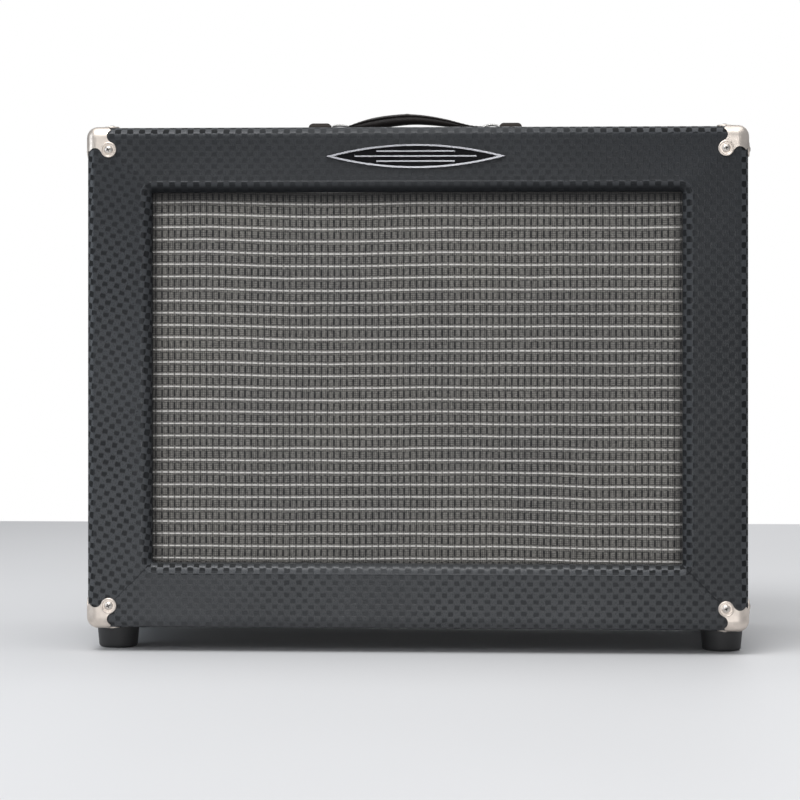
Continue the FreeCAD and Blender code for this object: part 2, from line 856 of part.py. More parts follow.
def handle_end_cap(side):
    outer = handle_x + side * handle_length / 2
    inner = outer - side * handle_cap_length
    width = handle_cap_width / 2
    x0, x1 = sorted((inner, outer))
    cap = block(x0, x1, -width, width, top_z, top_z + handle_cap_height)
    crown = [e for e in cap.Edges if e.BoundBox.ZMin > top_z + 1]
    cap = cap.makeFillet(handle_cap_height * 0.42, crown)
    gap = strap_gap
    x0, x1 = sorted((inner - side, inner + side * (strap_tuck + 1.0)))
    room = block(x0, x1, -strap_width / 2 - gap, strap_width / 2 + gap, top_z + strap_seat - gap,
                 top_z + strap_seat + strap_thick + strap_headroom)
    tools = [room]
    for x, y in handle_screw_places():
        if x * side > 0:
            seat_z = top_z + handle_cap_height - handle_head_sink
            crown_z = top_z + handle_cap_height
            tools.append(rod(handle_screw_radius, V(x, y, top_z - 1), V(x, y, crown_z)))
            tools.append(rod(handle_head_radius + hole_gap, V(x, y, seat_z), V(x, y, crown_z + 1)))
    return cap.cut(tools)


def handle_screws():
    screws = []
    for x, y in handle_screw_places():
        seat = V(x, y, top_z + handle_cap_height - handle_head_sink)
        reach = handle_cap_height - handle_head_sink + handle_screw_length
        screws.append(round_head_screw(seat, V(0, 0, 1), handle_head_radius, handle_head_height,
                                       handle_screw_radius, reach))
    return screws


# ---- chassis and its controls ----
def knob_places():
    return [(name, knob_first_x - k * knob_pitch) for k, name in enumerate(knob_names)]


def panel_holes(y0, y1):
    tools = []
    for name, x in knob_places():
        tools.append(rod(bushing_radius + hole_gap, V(x, y0, control_z), V(x, y1, control_z)))
    for x in jack_places:
        tools.append(rod(bushing_radius + hole_gap, V(x, y0, control_z), V(x, y1, control_z)))
    for x in (standby_x, power_x):
        tools.append(rod(toggle_radius + hole_gap, V(x, y0, control_z), V(x, y1, control_z)))
    tools.append(rod(lamp_radius + hole_gap, V(lamp_x, y0, control_z), V(lamp_x, y1, control_z)))
    tools.append(rod(fuse_radius + hole_gap, V(fuse_x, y0, control_z), V(fuse_x, y1, control_z)))
    half_x = inlet_body_width / 2 + hole_gap
    half_z = inlet_body_height / 2 + hole_gap
    tools.append(block(inlet_x - half_x, inlet_x + half_x, y0, y1, control_z - half_z, control_z + half_z))
    for sx in (-1, 1):
        x = inlet_x + sx * inlet_screw_side
        tools.append(rod(inlet_screw_radius, V(x, y0, control_z), V(x, y1, control_z)))
    return tools


def chassis():
    # folded steel tray, open towards the top board, with inward flanges along both long sides
    half = chassis_half_width
    tray = block(-half, half, chassis_front_y, rail_y, chassis_floor_z, inner_top)
    long_edges = [e for e in tray.Edges if e.BoundBox.ZMax < chassis_floor_z + 0.01]
    tray = tray.makeFillet(sheet * 1.6, long_edges)
    room = block(-half + sheet, half - sheet, chassis_front_y + sheet, rail_y - sheet,
                 chassis_floor_z + sheet, inner_top - sheet)
    mouth = block(-half + sheet, half - sheet, chassis_front_y + chassis_flange, rail_y - chassis_flange,
                  inner_top - sheet - 1, inner_top + 1)
    tools = [room, mouth] + panel_holes(rail_y - sheet - 1, rail_y + 1)
    for x, y in chassis_bolt_places():
        tools.append(rod(chassis_bolt_radius, V(x, y, inner_top - sheet - 1), V(x, y, inner_top + 1)))
    for x, y in preamp_tube_places:
        tools.append(rod(noval_hole + hole_gap, V(x, y, chassis_floor_z - 1), V(x, y, chassis_floor_z + 3)))
    for x, y in power_tube_places:
        tools.append(rod(octal_hole + hole_gap, V(x, y, chassis_floor_z - 1), V(x, y, chassis_floor_z + 3)))
    return tray.cut(tools)


def control_panel():
    half = inner_half_w - covering - panel_gap
    high = inner_top - covering - 0.2
    low = high - faceplate_height
    return block(-half, half, rail_y, face_y, low, high).cut(panel_holes(rail_y - 1, face_y + 1))


def chassis_bolts():
    bolts = []
    for x, y in chassis_bolt_places():
        seat = V(x, y, top_z)
        head_seat = seat + V(0, 0, chassis_cup_height)
        cup = cone(3 * chassis_bolt_radius, 2.3 * chassis_bolt_radius, seat, head_seat)
        low = inner_top - sheet - chassis_nut_thick - 2.0
        bolts.append(cup.cut(rod(chassis_bolt_radius, seat, head_seat)))
        bolts.append(round_head_screw(head_seat, V(0, 0, 1), 2 * chassis_bolt_radius, cap_head_height,
                                      chassis_bolt_radius, head_seat.z - low))
        nut_top = inner_top - sheet
        nut = hex_prism(chassis_nut_radius, V(x, y, nut_top - chassis_nut_thick), V(x, y, nut_top))
        bolts.append(nut.cut(rod(chassis_bolt_radius, V(x, y, low), seat)))
    return bolts


def circuit_board():
    z = chassis_floor_z + sheet + board_height
    x0 = -chassis_half_width + board_left_inset
    x1 = chassis_half_width - board_right_inset
    y0 = chassis_front_y + board_front_inset
    y1 = y0 + board_width
    pieces = [block(x0, x1, y0, y1, z, z + board_sheet)]
    for x in (x0 + post_inset, (x0 + x1) / 2, x1 - post_inset):
        for y in (y0 + post_inset, y1 - post_inset):
            pieces.append(rod(post_radius, V(x, y, chassis_floor_z + sheet), V(x, y, z)))
    return pieces


def board_components():
    # coupling and filter capacitors along the back of the board, small resistors along its front
    z = chassis_floor_z + sheet + board_height + board_sheet
    first_x = -chassis_half_width + board_left_inset + component_end_inset
    last_x = chassis_half_width - board_right_inset - component_end_inset
    step = (last_x - first_x) / (component_count - 1)
    y0 = chassis_front_y + board_front_inset
    front = y0 + resistor_length
    middle = y0 + board_width - 2 * coupling_length + resistor_length
    parts = []
    for k in range(component_count):
        x = first_x + k * step
        if k % 4 == 2:
            parts.append(rod(filter_radius, V(x, middle + coupling_length / 2, z),
                             V(x, middle + coupling_length / 2, z + filter_height)))
        else:
            parts.append(rod(coupling_radius, V(x, middle, z + coupling_radius),
                             V(x, middle + coupling_length, z + coupling_radius)))
        for side in (-1, 1):
            px = x + side * step / 4
            parts.append(rod(resistor_radius, V(px, front, z + resistor_radius),
                             V(px, front + resistor_length, z + resistor_radius)))
    return parts


def potentiometers():
    pots = []
    for name, x in knob_places():
        inside_y = rail_y - sheet
        back = V(x, inside_y - pot_depth, control_z)
        front = V(x, inside_y, control_z)
        can = rod(pot_radius, back, front)
        neck = rod(bushing_radius, front, V(x, inside_y + bushing_length, control_z))
        bore = rod(shaft_radius + shaft_fit, V(x, inside_y - pot_depth + 3, control_z),
                   V(x, inside_y + bushing_length + 1, control_z))
        tag = block(x - 8, x + 8, back.y + 2, back.y + 3.6, control_z + pot_radius - 3, control_z + pot_radius + 6)
        pots.append(can.fuse([neck, tag]).cut(bore))
    return pots


def knob(x):
    # skirted pointer knob on its shaft
    y0 = face_y + knob_lift
    room = nut_radius + knob_nut_room
    boss_radius = shaft_radius + knob_boss_wall
    floor = knob_height - knob_floor
    points = [(room, 0), (knob_radius, 0), (knob_radius, knob_skirt), (knob_top_radius + knob_step, knob_shoulder),
              (knob_top_radius, knob_height - knob_crown), (knob_top_radius - knob_crown, knob_height),
              (0, knob_height), (0, floor), (boss_radius, floor), (boss_radius, knob_boss_start),
              (room, knob_boss_start)]
    centre = V(x, y0, control_z)
    body = turned(points, centre, V(0, 1, 0))
    boss = rod(boss_radius, centre + V(0, knob_boss_start, 0), centre + V(0, floor + 1, 0))
    boss = boss.cut(rod(shaft_radius, centre, centre + V(0, floor + 1, 0)))
    grips = []
    for k in range(flute_count):
        angle = 2 * math.pi * k / flute_count
        reach = knob_top_radius + flute_offset
        foot = centre + V(reach * math.cos(angle), flute_start, reach * math.sin(angle))
        grips.append(rod(flute_radius, foot, foot + V(0, knob_height, 0)))
    pointer = block(x - pointer_width / 2, x + pointer_width / 2, y0 + knob_height - pointer_sink,
                    y0 + knob_height + 1, control_z + pointer_start, control_z + knob_top_radius)
    body = body.fuse(boss).cut(grips + [pointer])
    shaft_y = rail_y - sheet - pot_depth + shaft_tail
    shaft = rod(shaft_radius, V(x, shaft_y, control_z), V(x, y0 + floor, control_z))
    return [body, shaft]


def jack_sockets():
    jacks = []
    for x in jack_places:
        inside_y = rail_y - sheet
        rear = block(x - jack_body_width / 2, x + jack_body_width / 2, inside_y - jack_body_depth, inside_y,
                     control_z - jack_body_height / 2, control_z + jack_body_height / 2)
        neck = rod(bushing_radius, V(x, inside_y, control_z), V(x, inside_y + bushing_length, control_z))
        bore = rod(jack_bore, V(x, inside_y - jack_body_depth + 2, control_z), V(x, face_y + 20, control_z))
        back_y = inside_y - jack_body_depth
        low = control_z - jack_lug_low
        lugs = []
        for side in (-1, 1):
            lug_x = x + side * jack_lug_offset - jack_lug_thick / 2
            lugs.append(block(lug_x, lug_x + jack_lug_thick, back_y - jack_lug_reach, back_y + 1,
                              low, low + jack_lug_width))
        jacks.append(rear.fuse([neck] + lugs).cut(bore))
    return jacks


def panel_nuts():
    nuts = []
    for x in [x for name, x in knob_places()] + jack_places:
        start = V(x, face_y, control_z)
        nuts.append(hex_prism(nut_radius, start, start + V(0, nut_thick, 0))
                    .cut(rod(bushing_radius, start - V(0, 1, 0), start + V(0, 5, 0))))
    for x in (standby_x, power_x):
        start = V(x, face_y, control_z)
        nuts.append(hex_prism(toggle_nut_radius, start, start + V(0, nut_thick, 0))
                    .cut(rod(toggle_radius, start - V(0, 1, 0), start + V(0, 5, 0))))
    return nuts


def toggle_pivot(x):
    return V(x, rail_y - sheet + toggle_length - toggle_pivot_inset, control_z)


def toggle_switches():
    bodies = []
    for x in (standby_x, power_x):
        inside_y = rail_y - sheet
        half = toggle_body_width / 2
        case = block(x - half, x + half, inside_y - toggle_body_depth, inside_y,
                     control_z - toggle_body_height / 2, control_z + toggle_body_height / 2)
        neck = rod(toggle_radius, V(x, inside_y, control_z), V(x, inside_y + toggle_length, control_z))
        pivot = toggle_pivot(x)
        bore_start = pivot - V(0, toggle_ball + 0.5, 0)
        bore = rod(toggle_bore, bore_start, V(x, inside_y + toggle_length + 1, control_z))
        bodies.append(case.fuse(neck).cut(bore))
    return bodies


def toggle_lever(x):
    # bat lever, standing in its lower, off position
    pivot = toggle_pivot(x)
    ball = Part.makeSphere(toggle_ball, pivot)
    stem = cone(1.5, toggle_tip, pivot, pivot + V(0, toggle_reach - toggle_tip, 0))
    tip = Part.makeSphere(toggle_tip, pivot + V(0, toggle_reach - toggle_tip, 0))
    lever = ball.fuse([stem, tip])
    lever.rotate(pivot, V(1, 0, 0), -toggle_swing / 2)
    return lever


def pilot_lamp():
    start = V(lamp_x, rail_y - sheet, control_z)
    face = V(lamp_x, face_y, control_z)
    y_axis = V(0, 1, 0)
    body = rod(lamp_radius, start - y_axis * lamp_body_depth, face + y_axis * 0.1)
    jewel_radius = lamp_radius - lamp_ring_lip
    ring_points = [(jewel_radius, 0), (lamp_radius + lamp_ring_width, 0),
                   (lamp_radius + lamp_ring_width, lamp_ring_edge),
                   (lamp_radius + lamp_ring_top, lamp_ring_height), (jewel_radius, lamp_ring_height)]
    ring = turned(ring_points, face, y_axis)
    jewel = dome(jewel_radius, jewel_rise, face + y_axis * jewel_seat, y_axis)
    jewel = jewel.fuse(rod(jewel_radius, face + y_axis * 0.1, face + y_axis * jewel_seat))
    return [body.fuse(ring), jewel]


def fuse_holder():
    inside_y = rail_y - sheet
    body = rod(fuse_radius, V(fuse_x, inside_y - fuse_body_depth, control_z), V(fuse_x, face_y, control_z))
    flange = rod(fuse_radius + fuse_flange_width, V(fuse_x, face_y, control_z),
                 V(fuse_x, face_y + fuse_flange_thick, control_z))
    bore_start = V(fuse_x, inside_y - fuse_body_depth + fuse_end_wall, control_z)
    bore = rod(fuse_bore, bore_start, V(fuse_x, face_y + fuse_flange_thick + 1, control_z))
    nut = hex_prism(fuse_radius + fuse_nut_width, V(fuse_x, inside_y - fuse_nut_thick, control_z),
                    V(fuse_x, inside_y, control_z))
    return body.fuse([flange, nut]).cut(bore)


def fuse_cap():
    start = V(fuse_x, face_y + fuse_flange_thick + fuse_cap_gap, control_z)
    head_radius = fuse_radius + fuse_cap_width
    head = rod(head_radius, start, start + V(0, fuse_cap_height, 0))
    rim = [e for e in head.Edges if e.BoundBox.YMin > start.y + fuse_cap_height - 0.1]
    head = head.makeFillet(fuse_cap_round, rim)
    stem = rod(fuse_bore - fuse_stem_fit, start - V(0, fuse_stem_length, 0), start + V(0, 0.1, 0))
    slot = block(fuse_x - head_radius - 1, fuse_x + head_radius + 1, start.y + fuse_cap_height - fuse_slot_depth,
                 start.y + fuse_cap_height + 1, control_z - fuse_slot_width / 2, control_z + fuse_slot_width / 2)
    return head.fuse(stem).cut(slot)


def mains_inlet():
    flange = plate(inlet_width, inlet_height, 4.0, face_y, face_y + inlet_flange, inlet_x, control_z)
    body_half = inlet_body_width / 2
    body = block(inlet_x - body_half, inlet_x + body_half, face_y - inlet_body_depth, face_y,
                 control_z - inlet_body_height / 2, control_z + inlet_body_height / 2)
    half_x = inlet_cavity_width / 2
    half_z = inlet_cavity_height / 2
    cut_corner = inlet_corner_cut
    outline = [(-half_x, -half_z), (half_x, -half_z), (half_x, half_z - cut_corner), (half_x - cut_corner, half_z),
               (-half_x + cut_corner, half_z), (-half_x, half_z - cut_corner), (-half_x, -half_z)]
    loop = [V(inlet_x + x, face_y + inlet_flange + 1, control_z + z) for x, z in outline]
    cavity = Part.Face(Part.makePolygon(loop)).extrude(V(0, -inlet_cavity_depth - 1, 0))
    floor_y = face_y + inlet_flange - inlet_cavity_depth
    tools = [cavity]
    for sx in (-1, 1):
        x = inlet_x + sx * inlet_screw_side
        screw_end = V(x, face_y + inlet_flange + 1, control_z)
        tools.append(rod(inlet_screw_radius, V(x, face_y - 1, control_z), screw_end))
    pieces = [flange.fuse(body).cut(tools)]
    for dx, dz in ((-7.0, -2.0), (7.0, -2.0), (0.0, 2.6)):
        pieces.append(block(inlet_x + dx - inlet_pin / 2, inlet_x + dx + inlet_pin / 2,
                            floor_y, floor_y + inlet_pin_length,
                            control_z + dz - inlet_pin, control_z + dz + inlet_pin))
    for sx in (-1, 1):
        seat = V(inlet_x + sx * inlet_screw_side, face_y + inlet_flange, control_z)
        pieces.append(round_head_screw(seat, V(0, 1, 0), 2.7, 1.8, inlet_screw_radius, inlet_flange + 7.0))
    return pieces


def tube_sockets():
    sockets = []
    kinds = ((preamp_tube_places, noval_hole, noval_flange_radius),
             (power_tube_places, octal_hole, octal_flange_radius))
    for places, hole, flange in kinds:
        for x, y in places:
            low = V(x, y, chassis_floor_z)
            ring = rod(flange, low - V(0, 0, socket_flange), low)
            barrel = rod(hole, low, low + V(0, 0, socket_barrel))
            sockets.append(ring.fuse(barrel))
    return sockets


def glass_tube(x, y, base_radius, base_height, glass_radius, length):
    # a valve hanging upside down: base against the socket, rounded glass bulb below
    top = V(x, y, chassis_floor_z - socket_flange)
    shoulder = length - glass_radius
    points = [(0, 0), (base_radius, 0), (base_radius, base_height), (glass_radius - 1, base_height)]
    points += [(glass_radius, base_height + 4), (glass_radius, shoulder)]
    for k in range(1, 7):
        angle = k * math.pi / 14
        points.append((glass_radius * math.cos(angle), shoulder + glass_radius * 0.85 * math.sin(angle)))
    points.append((0, shoulder + glass_radius * 0.86))
    return turned(points, top, V(0, 0, -1))


def preamp_tubes():
    return [glass_tube(x, y, preamp_tube_radius, preamp_tube_base, preamp_tube_radius, preamp_tube_length)
            for x, y in preamp_tube_places]


def power_tubes():
    return [glass_tube(x, y, power_tube_base_radius, power_tube_base, power_tube_radius, power_tube_length)
            for x, y in power_tube_places]


def tube_shields():
    shields = []
    inner = preamp_tube_radius + shield_gap
    outer = inner + shield_gap
    for x, y in preamp_tube_places:
        top = V(x, y, chassis_floor_z - socket_flange)
        low = top - V(0, 0, shield_length - 1.0)
        lip = tube(outer, shield_mouth_radius, low - V(0, 0, 1.0), low)
        shields.append(tube(outer, inner, low, top).fuse(lip))
    return shields


def transformer(x, half_x, half_y, height, stack):
    # laminated core with two end bells, hung under the chassis by its mounting frame
    top = chassis_floor_z
    core = block(x - half_x, x + half_x, transformer_y - stack / 2, transformer_y + stack / 2,
                 top - height, top)
    bells = []
    for sy in (-1, 1):
        y0 = transformer_y + sy * stack / 2
        y1 = transformer_y + sy * half_y
        low, high = sorted((y0, y1))
        bell = block(x - half_x + bell_margin, x + half_x - bell_margin, low, high,
                     top - height + bell_step, top - bell_step)
        outer = [e for e in bell.Edges if abs(e.CenterOfMass.y - y1) < 0.01]
        bells.append(bell.makeFillet(min(bell_round, (high - low) * 0.6), outer))
    return [core] + bells


def filter_capacitors():
    cans = []
    for x, y in can_places:
        top = V(x, y, chassis_floor_z)
        can = rod(can_radius, top - V(0, 0, can_height), top)
        end_edges = [e for e in can.Edges if e.BoundBox.ZMax < chassis_floor_z - can_radius]
        can = can.makeFillet(can_round, end_edges)
        cans.append(can)
    return cans


def reverb_tank():
    # inverted steel tray standing on four rubber feet, screwed down through its end flanges
    x = tank_half_length
    z0 = inner_bottom + tank_foot
    y1 = tank_front_y + tank_width
    tray = block(-x, x, tank_front_y, y1, z0, z0 + tank_height)
    tray = tray.makeFillet(tank_round, [e for e in tray.Edges if e.BoundBox.ZMin > z0 + 0.5])
    room = block(-x + sheet, x - sheet, tank_front_y + sheet, y1 - sheet, z0 - 1, z0 + tank_height - sheet)
    tray = tray.cut(room)
    flange = block(-x - tank_flange, x + tank_flange, tank_front_y, y1, z0, z0 + sheet)
    flange = flange.cut(block(-x + sheet, x - sheet, tank_front_y - 1, y1 + 1, z0 - 1, z0 + sheet + 1))
    drills = []
    for px, py in tank_screw_places():
        drills.append(rod(tank_screw_radius, V(px, py, z0 - 1), V(px, py, z0 + sheet + 1)))
    pieces = [tray.fuse(flange).cut(drills)]
    for px, py in tank_screw_places():
        pieces.append(tube(tank_flange / 2, tank_screw_radius, V(px, py, inner_bottom), V(px, py, z0)))
    for px in (-x + tank_socket_inset, x - tank_socket_inset):
        for side in (-1, 1):
            start = V(px + side * 1.7 * tank_socket_radius, y1, z0 + tank_socket_height)
            end = start + V(0, tank_socket_reach, 0)
            pieces.append(tube(tank_socket_radius, tank_socket_bore, start, end))
    return pieces


# ---- speaker ----
def speaker_centre(depth):
    return V(0, baffle_back_y + depth, middle_z)


def speaker_bolt_places():
    places = []
    for k in range(bolt_count):
        angle = 2 * math.pi * (k + 0.5) / bolt_count
        out = V(bolt_circle * math.cos(angle), 0, bolt_circle * math.sin(angle))
        places.append(speaker_centre(0) + out)
    return places


def speaker_turned(points):
    return turned(points, speaker_centre(0), V(0, 1, 0))


def speaker_basket():
    t = basket_sheet
    front = gasket_thick
    rim = speaker_flange_radius
    wall_top = cone_rim_radius + 12.0
    points = [(wall_top - 2, front), (rim, front), (rim, front + t), (wall_top + t, front + t),
              (wall_top - 2, front + 16), (ledge_outer + t, ledge_depth + t), (ledge_inner + 1, ledge_depth + t),
              (basket_rear_radius + t, top_plate_depth), (pole_radius + 9, top_plate_depth),
              (pole_radius + 9, top_plate_depth - t), (basket_rear_radius, top_plate_depth - t),
              (ledge_inner, ledge_depth), (ledge_outer, ledge_depth), (wall_top - 4, front + 16)]
    bowl = speaker_turned(points)
    tools = []
    for centre in speaker_bolt_places():
        tools.append(rod(bolt_radius, centre, centre + V(0, front + t + 1, 0)))
    return bowl.cut(tools + basket_window_tools())


def basket_window_tools():
    # eight openings between the spokes of the bowl
    tools = []
    near = V(0, 0, 0)
    for k in range(basket_windows):
        inner = ledge_outer + window_margin
        outer = cone_rim_radius + 4.0
        half_inner = window_half - 3.0
        start = gasket_thick + 17.0
        loop = [V(inner, start, -half_inner), V(outer, start, -window_half), V(outer, start, window_half),
                V(inner, start, half_inner), V(inner, start, -half_inner)]
        window = Part.Face(Part.makePolygon(loop)).extrude(V(0, 60, 0))
        window.rotate(near, V(0, 1, 0), 360 * k / basket_windows)
        window.translate(speaker_centre(0))
        tools.append(window)
    return tools


def speaker_gasket():
    drills = [rod(bolt_radius, c, c + V(0, gasket_thick, 0)) for c in speaker_bolt_places()]
    return tube(gasket_outer, gasket_inner, speaker_centre(0), speaker_centre(gasket_thick)).cut(drills)


def wave(radius_a, radius_b, depth_a, depth_b, folds, height, thick):
    # outline of a corrugated ring from one radius to the other, as a strip of the given thickness
    steps = folds * 8
    near = []
    for k in range(steps + 1):
        part = k / steps
        radius = radius_a + (radius_b - radius_a) * part
        depth = depth_a + (depth_b - depth_a) * part - height * math.sin(2 * math.pi * folds * part)
        near.append((radius, depth))
    return near + [(r, d + thick) for r, d in reversed(near)]


def speaker_surround():
    # treated cloth edge: glued flange on the basket, two rolls, and a flange on the cone
    thick = 0.8
    inner = cone_rim_radius
    flange_in = cone_rim_radius + 11.0
    flange_out = gasket_inner - 0.6
    depth = gasket_thick - thick
    ripple = wave(flange_in, inner, depth, cone_rim_depth - thick - bond_gap, 2, 1.8, thick)
    half = len(ripple) // 2
    skirt = inner - 4.0
    lap = [(skirt, cone_depth(skirt) - thick - bond_gap), (skirt, cone_depth(skirt) - bond_gap)]
    points = [(flange_out, depth)] + ripple[:half] + lap + ripple[half:] + [(flange_out, depth + thick)]
    return speaker_turned(points)


def cone_depth(radius):
    share = (cone_rim_radius - radius) / (cone_rim_radius - cone_neck_radius)
    return cone_rim_depth + share * (cone_neck_depth - cone_rim_depth)


def speaker_cone():
    rim = cone_rim_radius
    neck = cone_neck_radius
    t = cone_paper
    return speaker_turned([(rim, cone_rim_depth), (rim, cone_rim_depth + t), (neck, cone_neck_depth + t),
                           (neck, cone_neck_depth)])


def dust_cap():
    seat = cone_depth(dust_cap_radius)
    radius = dust_cap_radius
    rise = dust_cap_rise
    outer = (radius ** 2 + rise ** 2) / (2 * rise)
    thick = 0.8
    steps = 10
    angle = math.asin(radius / outer)
    front = []
    for k in range(steps + 1):
        a = angle * k / steps
        front.append((outer * math.sin(a), seat - rise + outer * (1 - math.cos(a))))
    points = front + [(radius - 0.3, seat + 0.1)] + [(r * (1 - thick / outer), d + thick)
                                                    for r, d in reversed(front[:-1])]
    return speaker_turned(points)


def voice_coil():
    inner = cone_neck_radius - coil_wall
    former_front = speaker_centre(cone_neck_depth - 4)
    former = tube(cone_neck_radius, inner, former_front, speaker_centre(top_plate_depth + coil_reach))
    winding_start = speaker_centre(top_plate_depth - coil_overhang)
    winding = tube(cone_neck_radius + coil_wire, cone_neck_radius, winding_start,
                   speaker_centre(top_plate_depth + coil_reach - coil_overhang))
    return [former, winding]


def speaker_spider():
    thick = 0.6
    depth = ledge_depth - thick
    ripple = wave(ledge_inner + 1.0, cone_neck_radius + bond_gap, depth, depth, 5, 1.8, thick)
    points = [(ledge_outer - 0.6, depth)] + ripple + [(ledge_outer - 0.6, depth + thick)]
    return speaker_turned(points)


def motor_plates():
    top = tube(top_plate_radius, top_plate_hole, speaker_centre(top_plate_depth),
               speaker_centre(top_plate_depth + top_plate_thick))
    magnet_end = top_plate_depth + top_plate_thick + magnet_thick
    rear = rod(top_plate_radius, speaker_centre(magnet_end), speaker_centre(magnet_end + back_plate_thick))
    pole = rod(pole_radius, speaker_centre(top_plate_depth), speaker_centre(magnet_end))
    vent_end = speaker_centre(magnet_end + back_plate_thick + 1)
    vent = rod(pole_vent_radius, speaker_centre(top_plate_depth - 1), vent_end)
    return [top, rear.fuse(pole).cut(vent)]


def speaker_magnet():
    near = top_plate_depth + top_plate_thick
    ring = tube(magnet_radius, magnet_hole, speaker_centre(near), speaker_centre(near + magnet_thick))
    rims = [e for e in ring.Edges if e.Length > 2 * math.pi * magnet_radius * 0.95]
    outer_rims = [e for e in rims if e.BoundBox.ZLength > magnet_radius * 1.9]
    return ring.makeChamfer(magnet_chamfer, outer_rims[:2])


def speaker_terminals():
    z = middle_z + ledge_inner + 4.0
    y = baffle_back_y + ledge_depth + basket_sheet
    strip = block(-16, 16, y, y + 14, z, z + 2.0)
    pieces = [strip]
    for x in (-9, 9):
        pieces.append(block(x - 2.4, x + 2.4, y + 8, y + 20, z + 2.0, z + 2.8))
    return pieces


def speaker_bolts():
    pieces = []
    end = gasket_thick + basket_sheet
    for centre in speaker_bolt_places():
        front = V(centre.x, baffle_front_y, centre.z)
        reach = baffle_thick + end + bolt_tail
        pieces.append(flat_head_screw(front, V(0, 1, 0), bolt_radius * 2, bolt_radius, reach))
        seat = centre + V(0, end, 0)
        nut_seat = seat + V(0, bolt_washer, 0)
        nut_end = nut_seat + V(0, bolt_nut_thick, 0)
        nut = hex_prism(bolt_nut_radius, nut_seat, nut_end)
        pieces.append(tube(1.2 * bolt_nut_radius, bolt_radius, seat, nut_seat))
        pieces.append(nut.cut(rod(bolt_radius, nut_seat, nut_end)))
    return pieces


def build():
    os.makedirs("parts", exist_ok=True)
    drills = cabinet_drills()
    wood = wooden_box()
    skin = covering_skin(wood)
    for name, shape in cabinet_boards(wood).items():
        save(name, shape.cut(drills))
    save("vinyl_covering", skin.cut(drills))
    save("baffle_board", baffle_board().cut(drills))
    cloth = baffle_blank(frame_back_y, baffle_front_y)
    save("grille_cloth", cloth.cut(drills))
    save("panel_screws", panel_screws())
    save("back_cleats", back_cleats())
    save("lower_back_panel", lower_back_panel())
    save("corner_caps", corner_caps())
    save("corner_screws", corner_screws())
    save("rubber_feet", [rubber_foot(p) for p in foot_places()])
    save("foot_screws", [s for p in foot_places() for s in foot_fastener(p)])
    save("badge_plate", badge_plate())
    save("handle_end_caps", [handle_end_cap(-1), handle_end_cap(1)])
    save("handle_screws", handle_screws())
    save("handle_strap_ends", [strap_end(-1), strap_end(1)])
    save("handle_grip", handle_grip())
    save("chassis", chassis())
    save("control_panel", control_panel())
    save("chassis_bolts", chassis_bolts())
    save("circuit_board", circuit_board())
    save("board_components", board_components())
    save("power_transformer", transformer(power_transformer_x, power_core_half, power_bell_half,
                                          power_core_height, power_stack))
    save("output_transformer", transformer(output_transformer_x, output_core_half, output_bell_half,
                                           output_core_height, output_stack))
    save("filter_capacitors", filter_capacitors())
    save("tube_sockets", tube_sockets())
    save("preamp_tubes", preamp_tubes())
    save("tube_shields", tube_shields())
    save("power_tubes", power_tubes())
    save("potentiometers", potentiometers())
    for name, x in knob_places():
        save(name + "_knob", knob(x))
    save("jack_sockets", jack_sockets())
    save("panel_nuts", panel_nuts())
    save("toggle_switches", toggle_switches())
    save("power_lever", toggle_lever(power_x))
    save("standby_lever", toggle_lever(standby_x))
    save("pilot_lamp", pilot_lamp())
    save("fuse_holder", fuse_holder())
    save("fuse_cap", fuse_cap())
    save("mains_inlet", mains_inlet())
    save("reverb_tank", reverb_tank())
    save("speaker_basket", speaker_basket())
    save("speaker_gasket", speaker_gasket())
    save("speaker_surround", speaker_surround())
    save("speaker_cone", speaker_cone())
    save("dust_cap", dust_cap())
    save("voice_coil", voice_coil())
    save("speaker_spider", speaker_spider())
    save("speaker_magnet", speaker_magnet())
    save("motor_plates", motor_plates())
    save("speaker_terminals", speaker_terminals())
    save("speaker_bolts", speaker_bolts())


build()
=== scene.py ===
import json
import math

import bmesh
import bpy
from mathutils import Matrix, Vector


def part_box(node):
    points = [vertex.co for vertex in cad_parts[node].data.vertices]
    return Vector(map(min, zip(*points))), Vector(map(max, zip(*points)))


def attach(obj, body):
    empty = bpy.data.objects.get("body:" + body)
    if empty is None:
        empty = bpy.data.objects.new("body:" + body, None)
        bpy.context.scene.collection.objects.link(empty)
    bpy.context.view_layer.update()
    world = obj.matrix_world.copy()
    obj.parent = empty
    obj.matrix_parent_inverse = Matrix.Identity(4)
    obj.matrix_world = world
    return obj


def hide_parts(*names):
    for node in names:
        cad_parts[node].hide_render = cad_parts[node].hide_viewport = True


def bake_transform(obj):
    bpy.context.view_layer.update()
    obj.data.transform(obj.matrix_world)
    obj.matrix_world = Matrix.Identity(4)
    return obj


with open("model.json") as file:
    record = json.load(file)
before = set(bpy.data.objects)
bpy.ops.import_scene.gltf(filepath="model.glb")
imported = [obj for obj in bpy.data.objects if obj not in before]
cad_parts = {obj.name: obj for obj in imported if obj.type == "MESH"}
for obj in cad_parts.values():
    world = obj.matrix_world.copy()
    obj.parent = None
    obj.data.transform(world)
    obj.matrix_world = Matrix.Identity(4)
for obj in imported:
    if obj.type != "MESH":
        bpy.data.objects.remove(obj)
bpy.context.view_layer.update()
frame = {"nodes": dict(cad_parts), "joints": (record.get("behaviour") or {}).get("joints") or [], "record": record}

nodes = frame["nodes"]
coverLow, coverHigh = (Vector(c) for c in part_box("vinyl_covering"))
frontY, backY = coverLow.y, coverHigh.y
baseZ, topZ = coverLow.z, coverHigh.z
halfWidth = coverHigh.x
clothLow, clothHigh = (Vector(c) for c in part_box("grille_cloth"))
panelLow, panelHigh = (Vector(c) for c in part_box("control_panel"))
recess = next(o["box_m"] for o in frame["record"]["physics"]["openings"] if o["name"] == "front_recess")
frameBackY = clothLow.y
openingHalf = recess[1][0] + 0.001
openingLow, openingHigh = recess[0][2] - 0.001, recess[1][2] + 0.001
